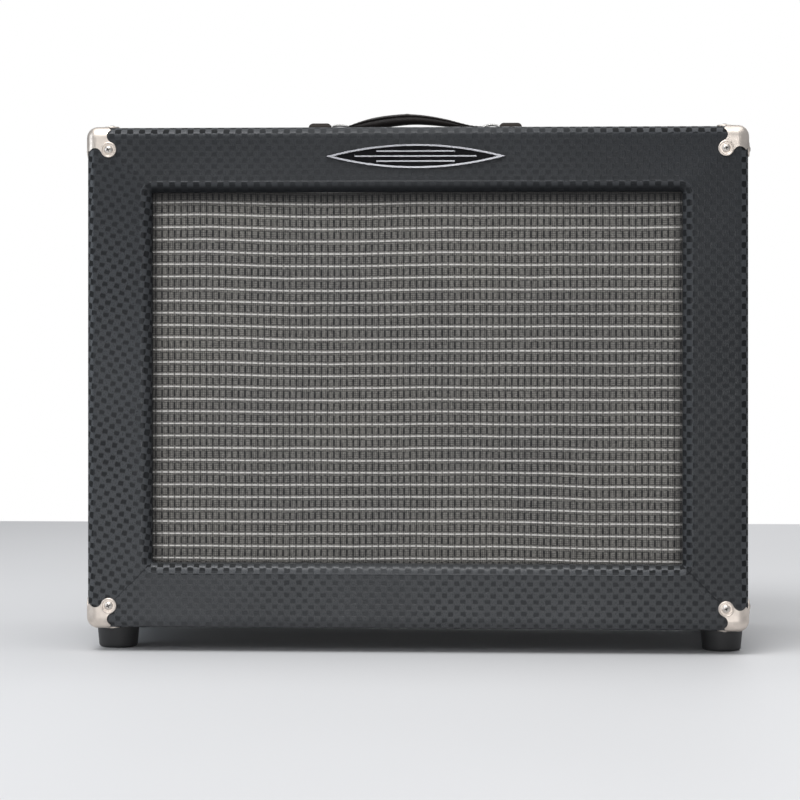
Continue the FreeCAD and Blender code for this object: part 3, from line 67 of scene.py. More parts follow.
middleZ = (openingLow + openingHigh) / 2
print("frame loaded", len(nodes), "nodes")


def newMaterial(name):
    material = bpy.data.materials.new(name)
    material.use_nodes = True
    tree = material.node_tree
    coords = tree.nodes.new("ShaderNodeTexCoord").outputs["Object"]
    return material, tree.nodes["Principled BSDF"], coords


def link(source, target):
    target.id_data.links.new(source, target)


def feed(socket, value):
    # the value is another socket, a number, a vector or a colour
    if isinstance(value, bpy.types.NodeSocket):
        link(value, socket)
    elif socket.type == "RGBA":
        socket.default_value = (*value, 1.0)
    else:
        socket.default_value = value


def feedAll(node, values):
    for socket, value in zip(node.inputs, values):
        feed(socket, value)


def newNode(beside, kind, **inputs):
    # made in the node tree of the given socket, with inputs filled in by name
    node = beside.id_data.nodes.new("ShaderNode" + kind)
    for name, value in inputs.items():
        feed(node.inputs[name], value)
    return node


def firstSocket(values):
    return next(v for v in values if isinstance(v, bpy.types.NodeSocket))


def maths(operation, *values):
    node = newNode(firstSocket(values), "Math")
    node.operation = operation
    feedAll(node, values)
    return node.outputs[0]


def times(a, b):
    return maths("MULTIPLY", a, b)


def plus(a, b):
    return maths("ADD", a, b)


def minus(a, b):
    return maths("SUBTRACT", a, b)


def larger(a, b):
    return maths("MAXIMUM", a, b)


def absolute(value):
    return maths("ABSOLUTE", value)


def distance(a, b):
    return maths("SQRT", plus(times(a, a), times(b, b)))


def waves(operation, value, pitch):
    return maths(operation, times(value, 2 * math.pi / pitch))


def mixColor(factor, a, b):
    node = newNode(firstSocket((factor, a, b)), "Mix")
    node.data_type = "RGBA"
    for index, value in ((0, factor), (6, a), (7, b)):
        feed(node.inputs[index], value)
    return node.outputs[2]


def scaled(color, factor):
    return tuple(c * factor for c in color)


def ramp(value, low, high, outLow=0.0, outHigh=1.0, smooth=False):
    node = newNode(value, "MapRange")
    node.interpolation_type = "SMOOTHSTEP" if smooth else "LINEAR"
    feedAll(node, (value, low, high, outLow, outHigh))
    return node.outputs[0]


def ease(value, low, high, outLow=0.0, outHigh=1.0):
    return ramp(value, low, high, outLow, outHigh, smooth=True)


def noise(vector, scale, detail=3.0, roughness=0.55):
    node = newNode(vector, "TexNoise", Vector=vector, Scale=scale, Detail=detail, Roughness=roughness)
    return node.outputs["Fac"]


def stretched(vector, scale):
    return newNode(vector, "Mapping", Vector=vector, Scale=scale).outputs[0]


def axes(vector, wanted="XYZ"):
    node = newNode(vector, "SeparateXYZ", Vector=vector)
    return [node.outputs[name] for name in wanted]


def facing(coords, wanted):
    # which way the surface looks
    return axes(newNode(coords, "NewGeometry").outputs["Normal"], wanted)


def paint(shader, **looks):
    names = {"color": "Base Color", "roughness": "Roughness", "metallic": "Metallic", "specular": "Specular IOR Level"}
    for look, value in looks.items():
        feed(shader.inputs[names[look]], value)


def bump(shader, height, strength, depth):
    node = newNode(height, "Bump", Strength=strength, Distance=depth, Height=height)
    link(node.outputs[0], shader.inputs["Normal"])


def newGroup(name, inputs, outputs):
    # takes a vector and the named numbers, gives the named numbers
    group = bpy.data.node_groups.new(name, "ShaderNodeTree")
    group.interface.new_socket("Vector", in_out="INPUT", socket_type="NodeSocketVector")
    for socketName, value in inputs.items():
        socket = group.interface.new_socket(socketName, in_out="INPUT", socket_type="NodeSocketFloat")
        socket.default_value = value
    for socketName in outputs:
        group.interface.new_socket(socketName, in_out="OUTPUT", socket_type="NodeSocketFloat")
    return group, group.nodes.new("NodeGroupInput").outputs, group.nodes.new("NodeGroupOutput").inputs


def giveOut(end, **values):
    for name, value in values.items():
        link(value, end[name])


def useGroup(group, **values):
    node = newNode(values["Vector"], "Group")
    node.node_tree = group
    for name, value in values.items():
        feed(node.inputs[name], value)
    return node.outputs


def wearOn(coords, patch, speck, dust):
    return useGroup(wearGroup, Vector=coords, Patch=patch, Speck=speck, Dust=dust)


def makeWearGroup():
    # cloudy patches, fine specks and a light dust that settles on upward faces
    group, start, end = newGroup("wearAndDust", {"Patch": 12.0, "Speck": 900.0, "Dust": 0.3},
                                 ("Patches", "Specks", "Dust"))
    patches = noise(start["Vector"], start["Patch"], 5.0, 0.5)
    specks = noise(start["Vector"], start["Speck"], 2.0, 0.5)
    upward = ramp(facing(start["Vector"], "Z")[0], 0.55, 1.0)
    dustAndFloorLight = times(upward, ramp(specks, 0.45, 0.75))
    giveOut(end, Patches=patches, Specks=specks, Dust=times(dustAndFloorLight, start["Dust"]))
    return group


def makeGrainGroup():
    # long wood grain along one axis of the given vector
    group, start, end = newGroup("woodGrain", {"Scale": 60.0}, ("Grain", "Pores"))
    wave = newNode(start["Vector"], "TexNoise", Vector=start["Vector"], Scale=start["Scale"], Detail=6.0,
                   Distortion=1.2)
    pores = noise(start["Vector"], times(start["Scale"], 9.0), 3.0, 0.5)
    giveOut(end, Grain=wave.outputs["Fac"], Pores=pores)
    return group


def makeCheckGroup():
    # embossed checks: rows of small sunk spots, every other row moved by half a step
    look = {"wobble": 210.0, "drift": 0.0026, "ribs": 7.0, "inSpot": 0.16, "onGround": 0.1, "sunk": 0.8}
    group, start, end = newGroup("embossedChecks", {"Pitch": 0.0112}, ("Spots", "Broad", "Height"))
    wobble = newNode(start["Vector"], "TexNoise", Vector=start["Vector"], Scale=look["wobble"])
    shift = newNode(start["Vector"], "VectorMath")
    shift.operation = "MULTIPLY_ADD"
    feedAll(shift, (wobble.outputs["Color"], (look["drift"], look["drift"], 0.0), start["Vector"]))
    x, y = axes(shift.outputs[0], "XY")
    turn = maths("DIVIDE", 2 * math.pi, start["Pitch"])
    across, up = (maths("COSINE", times(value, turn)) for value in (x, y))
    wide = ramp(across, -0.45, 0.45, -1.0, 1.0)  # each spot is wider than high
    spots = ease(times(wide, up), -0.05, 0.85)
    broad = ease(times(across, up), -0.08, 0.14)
    ribs, ribsUp = (maths("SINE", times(value, times(turn, look["ribs"]))) for value in (y, x))
    inSpot = times(spots, times(ribs, look["inSpot"]))
    onGround = times(minus(1.0, spots), times(ribsUp, look["onGround"]))
    relief = minus(plus(inSpot, onGround), times(spots, look["sunk"]))
    giveOut(end, Spots=spots, Broad=broad, Height=relief)
    return group


wearGroup = makeWearGroup()
grainGroup = makeGrainGroup()
checkGroup = makeCheckGroup()


def checkedVinyl(name, base, useUv=True):
    look = {"pitch": 0.0112, "roughness": 0.29, "spotRoughness": 0.62, "specular": 0.44, "spotSpecular": 0.2,
            "relief": 0.0002, "spot": 0.76, "shadedSpot": 0.4, "sheenLift": 1.9, "stretched": 0.4,
            "floorLightTint": (0.34, 0.35, 0.36), "topDust": (0.3, 0.29, 0.27), "topRightShade": (0.006, 0.007, 0.009),
            "seam": (0.006, 0.006, 0.007)}
    material, shader, coords = newMaterial(name)
    if useUv:
        pattern = newNode(coords, "UVMap")
        pattern.uv_map = "wrap"
    else:
        pattern = newNode(coords, "Mapping", Vector=coords, Rotation=(math.radians(-90), 0, 0))
    checks = useGroup(checkGroup, Vector=pattern.outputs[0], Pitch=look["pitch"])
    wear = wearOn(coords, 9.0, 1400.0, 0.35)
    x, z = axes(coords, "XZ")
    # the left side, where light falls from the left; its checks get painted highlight and painted shade
    leftLitSide = times(ramp(x, -0.245, -0.266), ramp(z, topZ - 0.05, topZ - 0.13, 0.3, 1.0))
    depth = ramp(noise(coords, 6.0, 2.0), 0.35, 0.65, 0.25, 0.8)
    depth = plus(depth, times(leftLitSide, 0.35))
    # painted shade inside the opening's recess
    recessShade = times(insideOpening(coords), 0.8)
    aboveEdge = ramp(z, baseZ + 0.006, baseZ + 0.016, 0.35, 1.0)
    offMiddle = ramp(absolute(x), 0.05, 0.2, 0.45, 1.0)
    bent = times(bentEdges(coords), times(aboveEdge, offMiddle))
    bent = times(bent, ramp(recessShade, 0.2, 0.8, 1.0, 0.25))
    # on the rounded edges the spots spread wider, as part of the painted light there
    spots = larger(times(checks["Spots"], depth), times(checks["Broad"], bent))

    ground = mixColor(ramp(wear["Patches"], 0.35, 0.7), scaled(base, 0.86), scaled(base, 1.12))
    # painted light: lighter in cloudy patches towards the bottom, standing in for light thrown up from the floor
    dustAndFloorLight = times(ramp(z, middleZ, baseZ, 0.0, 0.12), wear["Patches"])
    ground = mixColor(dustAndFloorLight, ground, look["floorLightTint"])
    # painted shade: darker towards the top and the right, where less light falls
    topRightShade = larger(ramp(z, middleZ, topZ, 0.0, 0.32), ramp(x, 0.2, 0.29, 0.0, 0.24))
    ground = mixColor(topRightShade, ground, look["topRightShade"])
    # painted highlight: the ground is lifted between the spots, on the rounded edges and on the left side, where light
    # catches it; worn carries this painted sheen
    between = times(minus(1.0, checks["Broad"]), ramp(leftLitSide, 0.0, 1.0, 0.12, 0.28))
    worn = larger(bent, plus(times(leftLitSide, 0.28), between))
    ground = mixColor(worn, ground, scaled(base, look["sheenLift"]))
    # painted shade: the spots are darker on the rounded edges and on the left side
    deep = larger(bent, times(leftLitSide, 0.7))
    spotColor = mixColor(deep, scaled(base, look["spot"]), scaled(base, look["shadedSpot"]))
    color = mixColor(times(wear["Dust"], 0.5), mixColor(spots, ground, spotColor), look["topDust"])

    rough = ramp(spots, 0.0, 1.0, look["roughness"], look["spotRoughness"])
    rough = plus(rough, ramp(wear["Specks"], 0.3, 0.7, -0.05, 0.07))
    height = plus(checks["Height"], times(wear["Specks"], 0.5))
    shine = ramp(spots, 0.0, 1.0, look["specular"], look["spotSpecular"])
    shine = times(shine, ramp(topRightShade, 0.0, 0.32, 1.0, 0.55))
    if useUv:
        # painted shade: in the recess the colour goes to a darker copy of the base, set by stretched
        color = mixColor(recessShade, color, scaled(base, look["stretched"]))
        shine = times(shine, minus(1.0, recessShade))
        rough = plus(rough, times(recessShade, 0.2))
        seam = mitreSeam(coords)
        color = mixColor(times(seam, 0.35), color, look["seam"])
        shine = times(shine, minus(1.0, times(seam, 0.4)))
        height = minus(height, times(seam, 0.6))
    paint(shader, color=color, roughness=rough, specular=shine)
    bump(shader, height, 0.9, look["relief"])
    return material


def bentEdges(coords):
    # the rounded edges, where the covering bends; the checks there get painted highlight on the ground and painted
    # shade in the spots
    forward = absolute(facing(coords, "Y")[0])
    return times(ramp(forward, 0.995, 0.93), ramp(forward, 0.02, 0.25))


def insideOpening(coords):
    # painted shade: the covering is made darker and duller where it turns down into the opening, all but the lower edge
    x, z = axes(coords, "XZ")
    beside = minus(absolute(x), openingHalf)
    above = minus(absolute(minus(z, middleZ)), openingHigh - middleZ)
    within = ramp(larger(beside, above), 0.0085, 0.0045)
    upward = facing(coords, "Z")[0]
    hanging = times(ramp(upward, 0.25, 0.05), ramp(upward, -0.1, -0.6, 0.35, 1.0))
    return times(within, hanging)


def mitreSeam(coords):
    # where the strips of covering meet on the slant in the two lower corners of the front
    x, y, z = axes(coords)
    wander = ramp(noise(coords, 70.0, 1.0), 0.3, 0.7, -0.0006, 0.0006)
    beside = minus(absolute(x), openingHalf)
    below = minus(openingLow, z)
    line = ramp(absolute(plus(minus(beside, below), wander)), 0.0003, 0.001, 1.0, 0.0)
    inCorner = ramp(maths("MINIMUM", beside, below), 0.001, 0.004)
    onFront = ramp(y, frontY + 0.006, frontY + 0.003)
    return times(line, times(inCorner, onFront))


def metal(name, color, roughness, scratch=0.08, streak=(1, 1, 1), relief=0.00002, patch=35.0, tarnish=0.84):
    # plated or brushed metal with fine scratches along the short axis of streak
    material, shader, coords = newMaterial(name)
    dull = ramp(wearOn(coords, patch, 700.0, 0.2)["Patches"], 0.3, 0.75)
    lines = noise(stretched(coords, streak), 900.0, 2.0)
    rough = plus(ramp(lines, 0.3, 0.7, roughness - scratch, roughness + scratch), times(dull, 0.06))
    paint(shader, color=mixColor(dull, color, scaled(color, tarnish)), roughness=rough, metallic=1.0)
    bump(shader, lines, 0.35, relief)
    return material


def slottedMetal(name, color, roughness, tarnish):
    # plated metal, with painted shade down in the cross slots of the corner screws on the front and back
    screw = {"inset": 0.0207, "reach": 0.002, "sunk": 0.0006, "slot": (0.03, 0.028, 0.026)}
    low, high = (Vector(c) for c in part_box("corner_screws"))
    material = metal(name, color, roughness, tarnish=tarnish)
    shader = material.node_tree.nodes["Principled BSDF"]
    plain = shader.inputs["Base Color"].links[0].from_socket
    x, y, z = axes(newNode(plain, "TexCoord").outputs["Object"])
    across = minus(absolute(x), halfWidth - screw["inset"])
    up = minus(absolute(minus(z, (topZ + baseZ) / 2)), (topZ - baseZ) / 2 - screw["inset"])
    floorOut = (high.y - low.y) / 2 - screw["sunk"]
    sunk = ramp(absolute(minus(y, (low.y + high.y) / 2)), floorOut, floorOut - 0.0004)
    slot = times(sunk, ramp(distance(across, up), screw["reach"], screw["reach"] - 0.0002))
    paint(shader, color=mixColor(slot, plain, screw["slot"]))
    return material


def plastic(name, color, roughness, speck=1800.0, relief=0.00004, specular=0.5, spread=0.07, dust=0.4):
    # moulded plastic, rubber or paint: fine pebble, cloudy gloss
    material, shader, coords = newMaterial(name)
    wear = wearOn(coords, 18.0, speck, dust)
    shade = mixColor(ramp(wear["Patches"], 0.3, 0.7), scaled(color, 0.82), scaled(color, 1.18))
    shade = mixColor(times(wear["Dust"], 0.4), shade, (0.34, 0.33, 0.31))
    rough = ramp(wear["Specks"], 0.25, 0.75, roughness - spread, roughness + spread)
    paint(shader, color=shade, roughness=rough, specular=specular)
    bump(shader, wear["Specks"], 0.5, relief)
    return material


def wood(name, light, dark, stretch, roughness=0.62, relief=0.00012):
    material, shader, coords = newMaterial(name)
    grain = useGroup(grainGroup, Vector=stretched(coords, stretch), Scale=42.0)
    wear = wearOn(coords, 7.0, 600.0, 0.6)
    shade = mixColor(ramp(grain["Grain"], 0.35, 0.65), dark, light)
    shade = mixColor(ramp(wear["Patches"], 0.2, 0.9, 0.0, 0.35), shade, dark)
    paint(shader, color=shade, roughness=ramp(grain["Pores"], 0.3, 0.7, roughness - 0.08, roughness + 0.12))
    bump(shader, grain["Pores"], 0.6, relief)
    return material


vinylColor = (0.026, 0.028, 0.031)
vinyl = checkedVinyl("checkVinyl", vinylColor)
vinylFlat = checkedVinyl("checkVinylFlat", vinylColor, useUv=False)
brightSteel = metal("brightStrap", (0.86, 0.85, 0.82), 0.3, 0.08, (1, 8, 8))
aluminium = metal("drawnAluminium", (0.7, 0.7, 0.71), 0.34, 0.08, (6, 6, 1))
printWhite = plastic("panelPrint", (0.72, 0.72, 0.7), 0.55, 900.0, 0.00001)
print("materials made")


def dress(material, *names):
    for name in names:
        mesh = nodes[name].data
        mesh.materials.clear()
        mesh.materials.append(material)


dress(metal("satinNickel", (0.81, 0.725, 0.65), 0.36, 0.06, patch=85.0, tarnish=0.68), "corner_caps")
dress(slottedMetal("screwSteel", (0.74, 0.69, 0.64), 0.32, tarnish=0.7),
      "corner_screws", "foot_screws", "chassis_bolts", "speaker_bolts")
dress(metal("blackScrew", (0.06, 0.06, 0.062), 0.4, 0.08), "panel_screws", "handle_screws")
dress(plastic("footRubber", (0.03, 0.03, 0.031), 0.52, 1400.0, 0.00008, 0.42), "rubber_feet")
dress(wood("plywoodLying", (0.58, 0.42, 0.25), (0.4, 0.26, 0.14), (0.12, 1, 1)),
      "top_board", "bottom_board", "front_frame")
dress(wood("plywoodUpright", (0.58, 0.42, 0.25), (0.4, 0.26, 0.14), (1, 1, 0.12)),
      "left_side_board", "right_side_board", "back_cleats")
dress(wood("baffleBlack", (0.03, 0.03, 0.032), (0.017, 0.017, 0.018), (0.12, 1, 1), 0.68), "baffle_board")
dress(metal("zincSheet", (0.52, 0.52, 0.5), 0.42, 0.1, (1, 6, 6)),
      "chassis", "potentiometers", "reverb_tank", "toggle_switches")
dress(plastic("panelPaint", (0.02, 0.021, 0.023), 0.38, 1600.0, 0.00003), "control_panel")
dress(plastic("fibreBoard", (0.2, 0.115, 0.045), 0.55, 900.0, 0.00008), "circuit_board", "speaker_terminals")
dress(plastic("componentCoat", (0.5, 0.2, 0.035), 0.3, 700.0, 0.00003), "board_components")
dress(aluminium, "filter_capacitors", "tube_shields")
dress(plastic("glazedCeramic", (0.72, 0.69, 0.62), 0.22, 700.0, 0.00002), "tube_sockets")
dress(plastic("knobMoulding", (0.012, 0.012, 0.013), 0.26, 2400.0, 0.00002),
      *[n for n in nodes if n.endswith("_knob")])
dress(plastic("blackMoulding", (0.016, 0.016, 0.017), 0.4),
      "jack_sockets", "fuse_holder", "fuse_cap", "mains_inlet")
dress(metal("chromePlate", (0.82, 0.82, 0.83), 0.12, 0.05), "panel_nuts", "power_lever", "standby_lever")
dress(plastic("basketPaint", (0.035, 0.036, 0.038), 0.36, 1100.0, 0.00006), "speaker_basket")
dress(plastic("gasketBoard", (0.22, 0.15, 0.085), 0.82, 700.0, 0.0002, 0.2), "speaker_gasket")
dress(plastic("surroundCloth", (0.016, 0.016, 0.016), 0.55, 1300.0, 0.0002, 0.35), "speaker_surround")
dress(metal("copperWinding", (0.72, 0.36, 0.2), 0.36, 0.08, (1, 14, 1)), "voice_coil")
dress(plastic("ferrite", (0.03, 0.03, 0.032), 0.62, 500.0, 0.00015), "speaker_magnet")
dress(metal("passivatedPlate", (0.44, 0.42, 0.36), 0.42, 0.08), "motor_plates")


def addObject(name, data):
    piece = bpy.data.objects.new(name, data)
    bpy.context.scene.collection.objects.link(piece)
    return piece


def meshObject(name, bm, material):
    mesh = bpy.data.meshes.new(name)
    bm.to_mesh(mesh)
    bm.free()
    mesh.materials.append(material)
    return addObject(name, mesh)


def finish(name, bm, material, body, smoothAngle=40):
    piece = meshObject(name, bm, material)
    if smoothAngle:
        piece.data.polygons.foreach_set("use_smooth", [True] * len(piece.data.polygons))
        piece.data.set_sharp_from_angle(angle=math.radians(smoothAngle))
    if body:
        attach(piece, body)
    return piece


def thicken(piece, name, thickness):
    skin = piece.modifiers.new(name, "SOLIDIFY")
    skin.thickness = thickness
    skin.offset = -1.0


def roundEdges(bm, edges, radius, segments=3):
    bmesh.ops.bevel(bm, geom=list(edges), offset=radius, offset_type="OFFSET", segments=segments, profile=0.5,
                    affect="EDGES", material=-1, clamp_overlap=False)


def addBox(bm, size, place):
    verts = bmesh.ops.create_cube(bm, size=1.0)["verts"]
    bmesh.ops.scale(bm, verts=verts, vec=size)
    bmesh.ops.translate(bm, verts=verts, vec=place)


def bridge(bm, rings):
    for first, second in zip(rings, rings[1:]):
        for k in range(len(first)):
            after = (k + 1) % len(first)
            bm.faces.new((first[k], first[after], second[after], second[k]))


def closedTube(bm, rings):
    bridge(bm, rings)
    bm.faces.new(rings[0])
    bm.faces.new(rings[-1])
    bmesh.ops.recalc_face_normals(bm, faces=bm.faces)


cover = {"edgeRadius": 0.0095, "wall": 0.0188, "skin": 0.0008, "openingRadius": 0.0085, "openingCorner": 0.0025,
         "beadRise": 0.0005, "beadReach": 0.003, "beadSteps": 6, "rearEdge": 0.0012, "edgeSteps": 5,
         "cornerSteps": 4, "tilt": math.radians(9.5), "lowerShift": 0.003}


def faceToward(bm, direction):
    return max(bm.faces, key=lambda f: f.normal.dot(direction) * 10 + f.calc_center_median().dot(direction))


def extrudeOpen(bm, face, depth):
    # walls run from the face's rim into the box; the face itself goes
    inward = -face.normal.copy()
    rim = list(face.edges)
    bmesh.ops.delete(bm, geom=[face], context="FACES_ONLY")
    made = bmesh.ops.extrude_edge_only(bm, edges=rim)
    verts = [g for g in made["geom"] if isinstance(g, bmesh.types.BMVert)]
    bmesh.ops.translate(bm, verts=verts, vec=inward * depth)


def alongAxis(edge, axis):
    span = edge.verts[1].co - edge.verts[0].co
    return abs(span[axis]) > 0.98 * span.length


def openingRing(bm, outward, y):
    # rounded rectangle round the opening, let out by the given amount
    radius = cover["openingCorner"] + outward
    halfX, halfZ = openingHalf + outward - radius, (openingHigh - openingLow) / 2 + outward - radius
    steps = cover["cornerSteps"]
    ring = []
    for corner, (sideX, sideZ) in enumerate(((1, 1), (-1, 1), (-1, -1), (1, -1))):
        for k in range(steps + 1):
            angle = math.pi / 2 * (corner + k / steps)
            ring.append(bm.verts.new((sideX * halfX + radius * math.cos(angle), y,
                                      middleZ + sideZ * halfZ + radius * math.sin(angle))))
    return ring


def openingProfile():
    # (outward, y) pairs from the flat front over a low bead and the rounded edge into the recess
    radius, reach = cover["openingRadius"], cover["beadReach"]
    pairs = []
    for k in range(cover["beadSteps"] + 1):
        share = k / cover["beadSteps"]
        pairs.append((radius + reach * (0.75 - share), frontY - cover["beadRise"] * math.sin(math.pi * share) ** 2))
    for k in range(2, cover["edgeSteps"] + 1):
        angle = math.pi / 2 * k / cover["edgeSteps"]
        pairs.append((radius * (1 - math.sin(angle)), frontY + radius * (1 - math.cos(angle))))
    pairs.append((0.0, frameBackY))
    return pairs


def makeCovering():
    bm = bmesh.new()
    addBox(bm, coverHigh - coverLow, (coverLow + coverHigh) / 2)
    bm.normal_update()
    roundEdges(bm, bm.edges, cover["edgeRadius"], cover["edgeSteps"])
    front = faceToward(bm, Vector((0, -1, 0)))
    back = faceToward(bm, Vector((0, 1, 0)))
    corners = sorted(front.verts, key=lambda v: math.atan2(v.co.z - middleZ, v.co.x) % (2 * math.pi))
    bmesh.ops.delete(bm, geom=[front], context="FACES_ONLY")
    rings = [openingRing(bm, outward, y) for outward, y in openingProfile()]
    bridge(bm, rings)
    steps = cover["cornerSteps"]
    mitres = [corner * (steps + 1) + steps // 2 for corner in range(4)]
    for k in range(4):
        start, end = mitres[k], mitres[(k + 1) % 4]
        count = (end - start) % len(rings[0])
        inside = [rings[0][(start + j) % len(rings[0])] for j in range(count + 1)]
        bm.faces.new([corners[k]] + inside + [corners[(k + 1) % 4]])
    wall = cover["wall"] + cover["skin"]
    bmesh.ops.inset_region(bm, faces=[back], thickness=wall - cover["edgeRadius"], use_even_offset=True)
    extrudeOpen(bm, back, backY - panelLow.y - 0.0004)

    def onRearRim(co):
        within = abs(co.x) < halfWidth - wall + 1e-4 and baseZ + cover["wall"] < co.z < topZ - wall + 1e-4
        return within and abs(co.y - backY) < 1e-5

    rearRim = [e for e in bm.edges if all(onRearRim(v.co) for v in e.verts)]
    roundEdges(bm, rearRim, cover["rearEdge"], 2)
    bmesh.ops.recalc_face_normals(bm, faces=bm.faces)
    if faceToward(bm, Vector((0, -1, 0))).calc_center_median().y > frontY + 0.01:
        bmesh.ops.reverse_faces(bm, faces=bm.faces)
    bm.normal_update()
    wrapUv(bm)
    piece = finish("vinylCovering", bm, vinyl, "cabinet", 50)
    thicken(piece, "skin", cover["skin"])
    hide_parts("vinyl_covering")


def wrapUv(bm):
    # the pattern runs on without a break over the edges of the box and of the opening
    layer = bm.loops.layers.uv.new("wrap")
    radius, inRadius = cover["edgeRadius"], cover["openingRadius"]
    boxMiddle = Vector((0, 0, (baseZ + topZ) / 2))
    halfHeight = (topZ - baseZ) / 2
    openHalfZ = (openingHigh - openingLow) / 2
    turnCos, turnSin = math.cos(cover["tilt"]), math.sin(cover["tilt"])

    def aroundFront(along, y, edge):
        # distance from the middle, carried over the front edge, along the side and over the rear edge
        flat = edge - radius
        out, back, rearBend = along - flat, y - (frontY + radius), y - (backY - radius)
        if out <= 0:
            return along + max(0.0, back)
        if rearBend > 1e-6:
            return flat + radius * math.pi / 2 + back - rearBend + radius * math.atan2(rearBend, out)
        if back >= 0 and out >= radius - 1e-6:
            return flat + radius * math.pi / 2 + back
        return flat + radius * math.atan2(out, max(-back, 1e-9))

    def intoOpening(along, y, edge):
        # distance from the middle, carried over the rounded inner edge into the opening
        flat = edge + inRadius
        out, back = flat - along, y - (frontY + inRadius)
        if out <= 0:
            return along
        if back >= 0:
            return flat - inRadius * math.pi / 2 - back
        return flat - inRadius * math.atan2(out, max(-back, 1e-9))

    for face in bm.faces:
        centre = face.calc_center_median() - boxMiddle
        sideways = abs(centre.x) - openingHalf > abs(centre.z) - openHalfZ
        rear = centre.y > frontY + radius + 0.001 and max(abs(face.normal.x), abs(face.normal.z)) < 0.7
        inner = abs(centre.x) < openingHalf + inRadius and abs(centre.z) < openHalfZ + inRadius
        opening, edge = (openingHalf, halfWidth) if sideways else (openHalfZ, halfHeight)
        for loop in face.loops:
            p = loop.vert.co - boxMiddle
            uv = [p.x, p.z]
            if not rear:
                k = 0 if sideways else 1
                along = abs(uv[k])
                reach = intoOpening(along, p.y, opening) if inner else aroundFront(along, p.y, edge)
                uv[k] = reach if uv[k] > 0 else -reach
            if sideways and centre.x < 0:
                uv = [uv[0] * turnCos - uv[1] * turnSin, uv[0] * turnSin + uv[1] * turnCos]
            elif not sideways and centre.z < 0:
                uv[1] += cover["lowerShift"]
            loop[layer].uv = uv


makeCovering()
print("covering made")


cloth = {"linePitch": 0.0114, "dashPitch": 0.00588, "firstLine": 0.0065, "thickness": 0.0008, "gap": 0.0001,
         "ripple": 0.00004, "fold": 0.00005,
         "ground": (0.172, 0.166, 0.157), "warm": (0.21, 0.2, 0.182), "pale": (0.38, 0.365, 0.335),
         "dark": (0.009, 0.009, 0.01), "silver": (0.64, 0.62, 0.595)}


def clothSag(x, z):
    # the rows hang a little lower in the upper half, most of all left of the middle
    def swell(center, reach, height):
        return ease(absolute(minus(x, center)), reach, 0.0, 0.0, height)

    above = plus(swell(-0.07, 0.095, 0.0011), ease(x, -0.21, -0.12, 0.0004, 0.0014))
    below = plus(swell(0.05, 0.13, -0.001), ease(x, 0.1, 0.2, -0.0002, 0.0008))
    upper = ease(z, middleZ - 0.14, middleZ + 0.03)
    return plus(times(above, upper), times(below, minus(1.0, upper)))


def clothThreads(coords, rowZ, columnX, place, column):
    # fine threads across and upright, broken up so that no two rows look alike
    broken = ease(noise(stretched(coords, (60.0, 1.0, 190.0)), 3.0, 2.0), 0.38, 0.6)
    upper, lower = (ease(absolute(minus(place, middle)), 0.06, 0.018) for middle in (0.23, 0.8))
    threads = times(larger(upper, lower), broken)
    pick = ramp(waves("SINE", rowZ, cloth["linePitch"] / 6), 0.0, 1.0)
    picks = times(pick, ramp(broken, 1.0, 0.0, 0.3, 1.0))
    tall = ease(noise(stretched(coords, (170.0, 1.0, 45.0)), 3.0, 2.0), 0.38, 0.62, 0.25, 1.0)
    uprights = times(ramp(waves("COSINE", columnX, cloth["dashPitch"] / 3), -0.1, -0.9), tall)
    seamsUp = times(ease(column, -0.78, -0.97), tall)
    return threads, picks, uprights, seamsUp


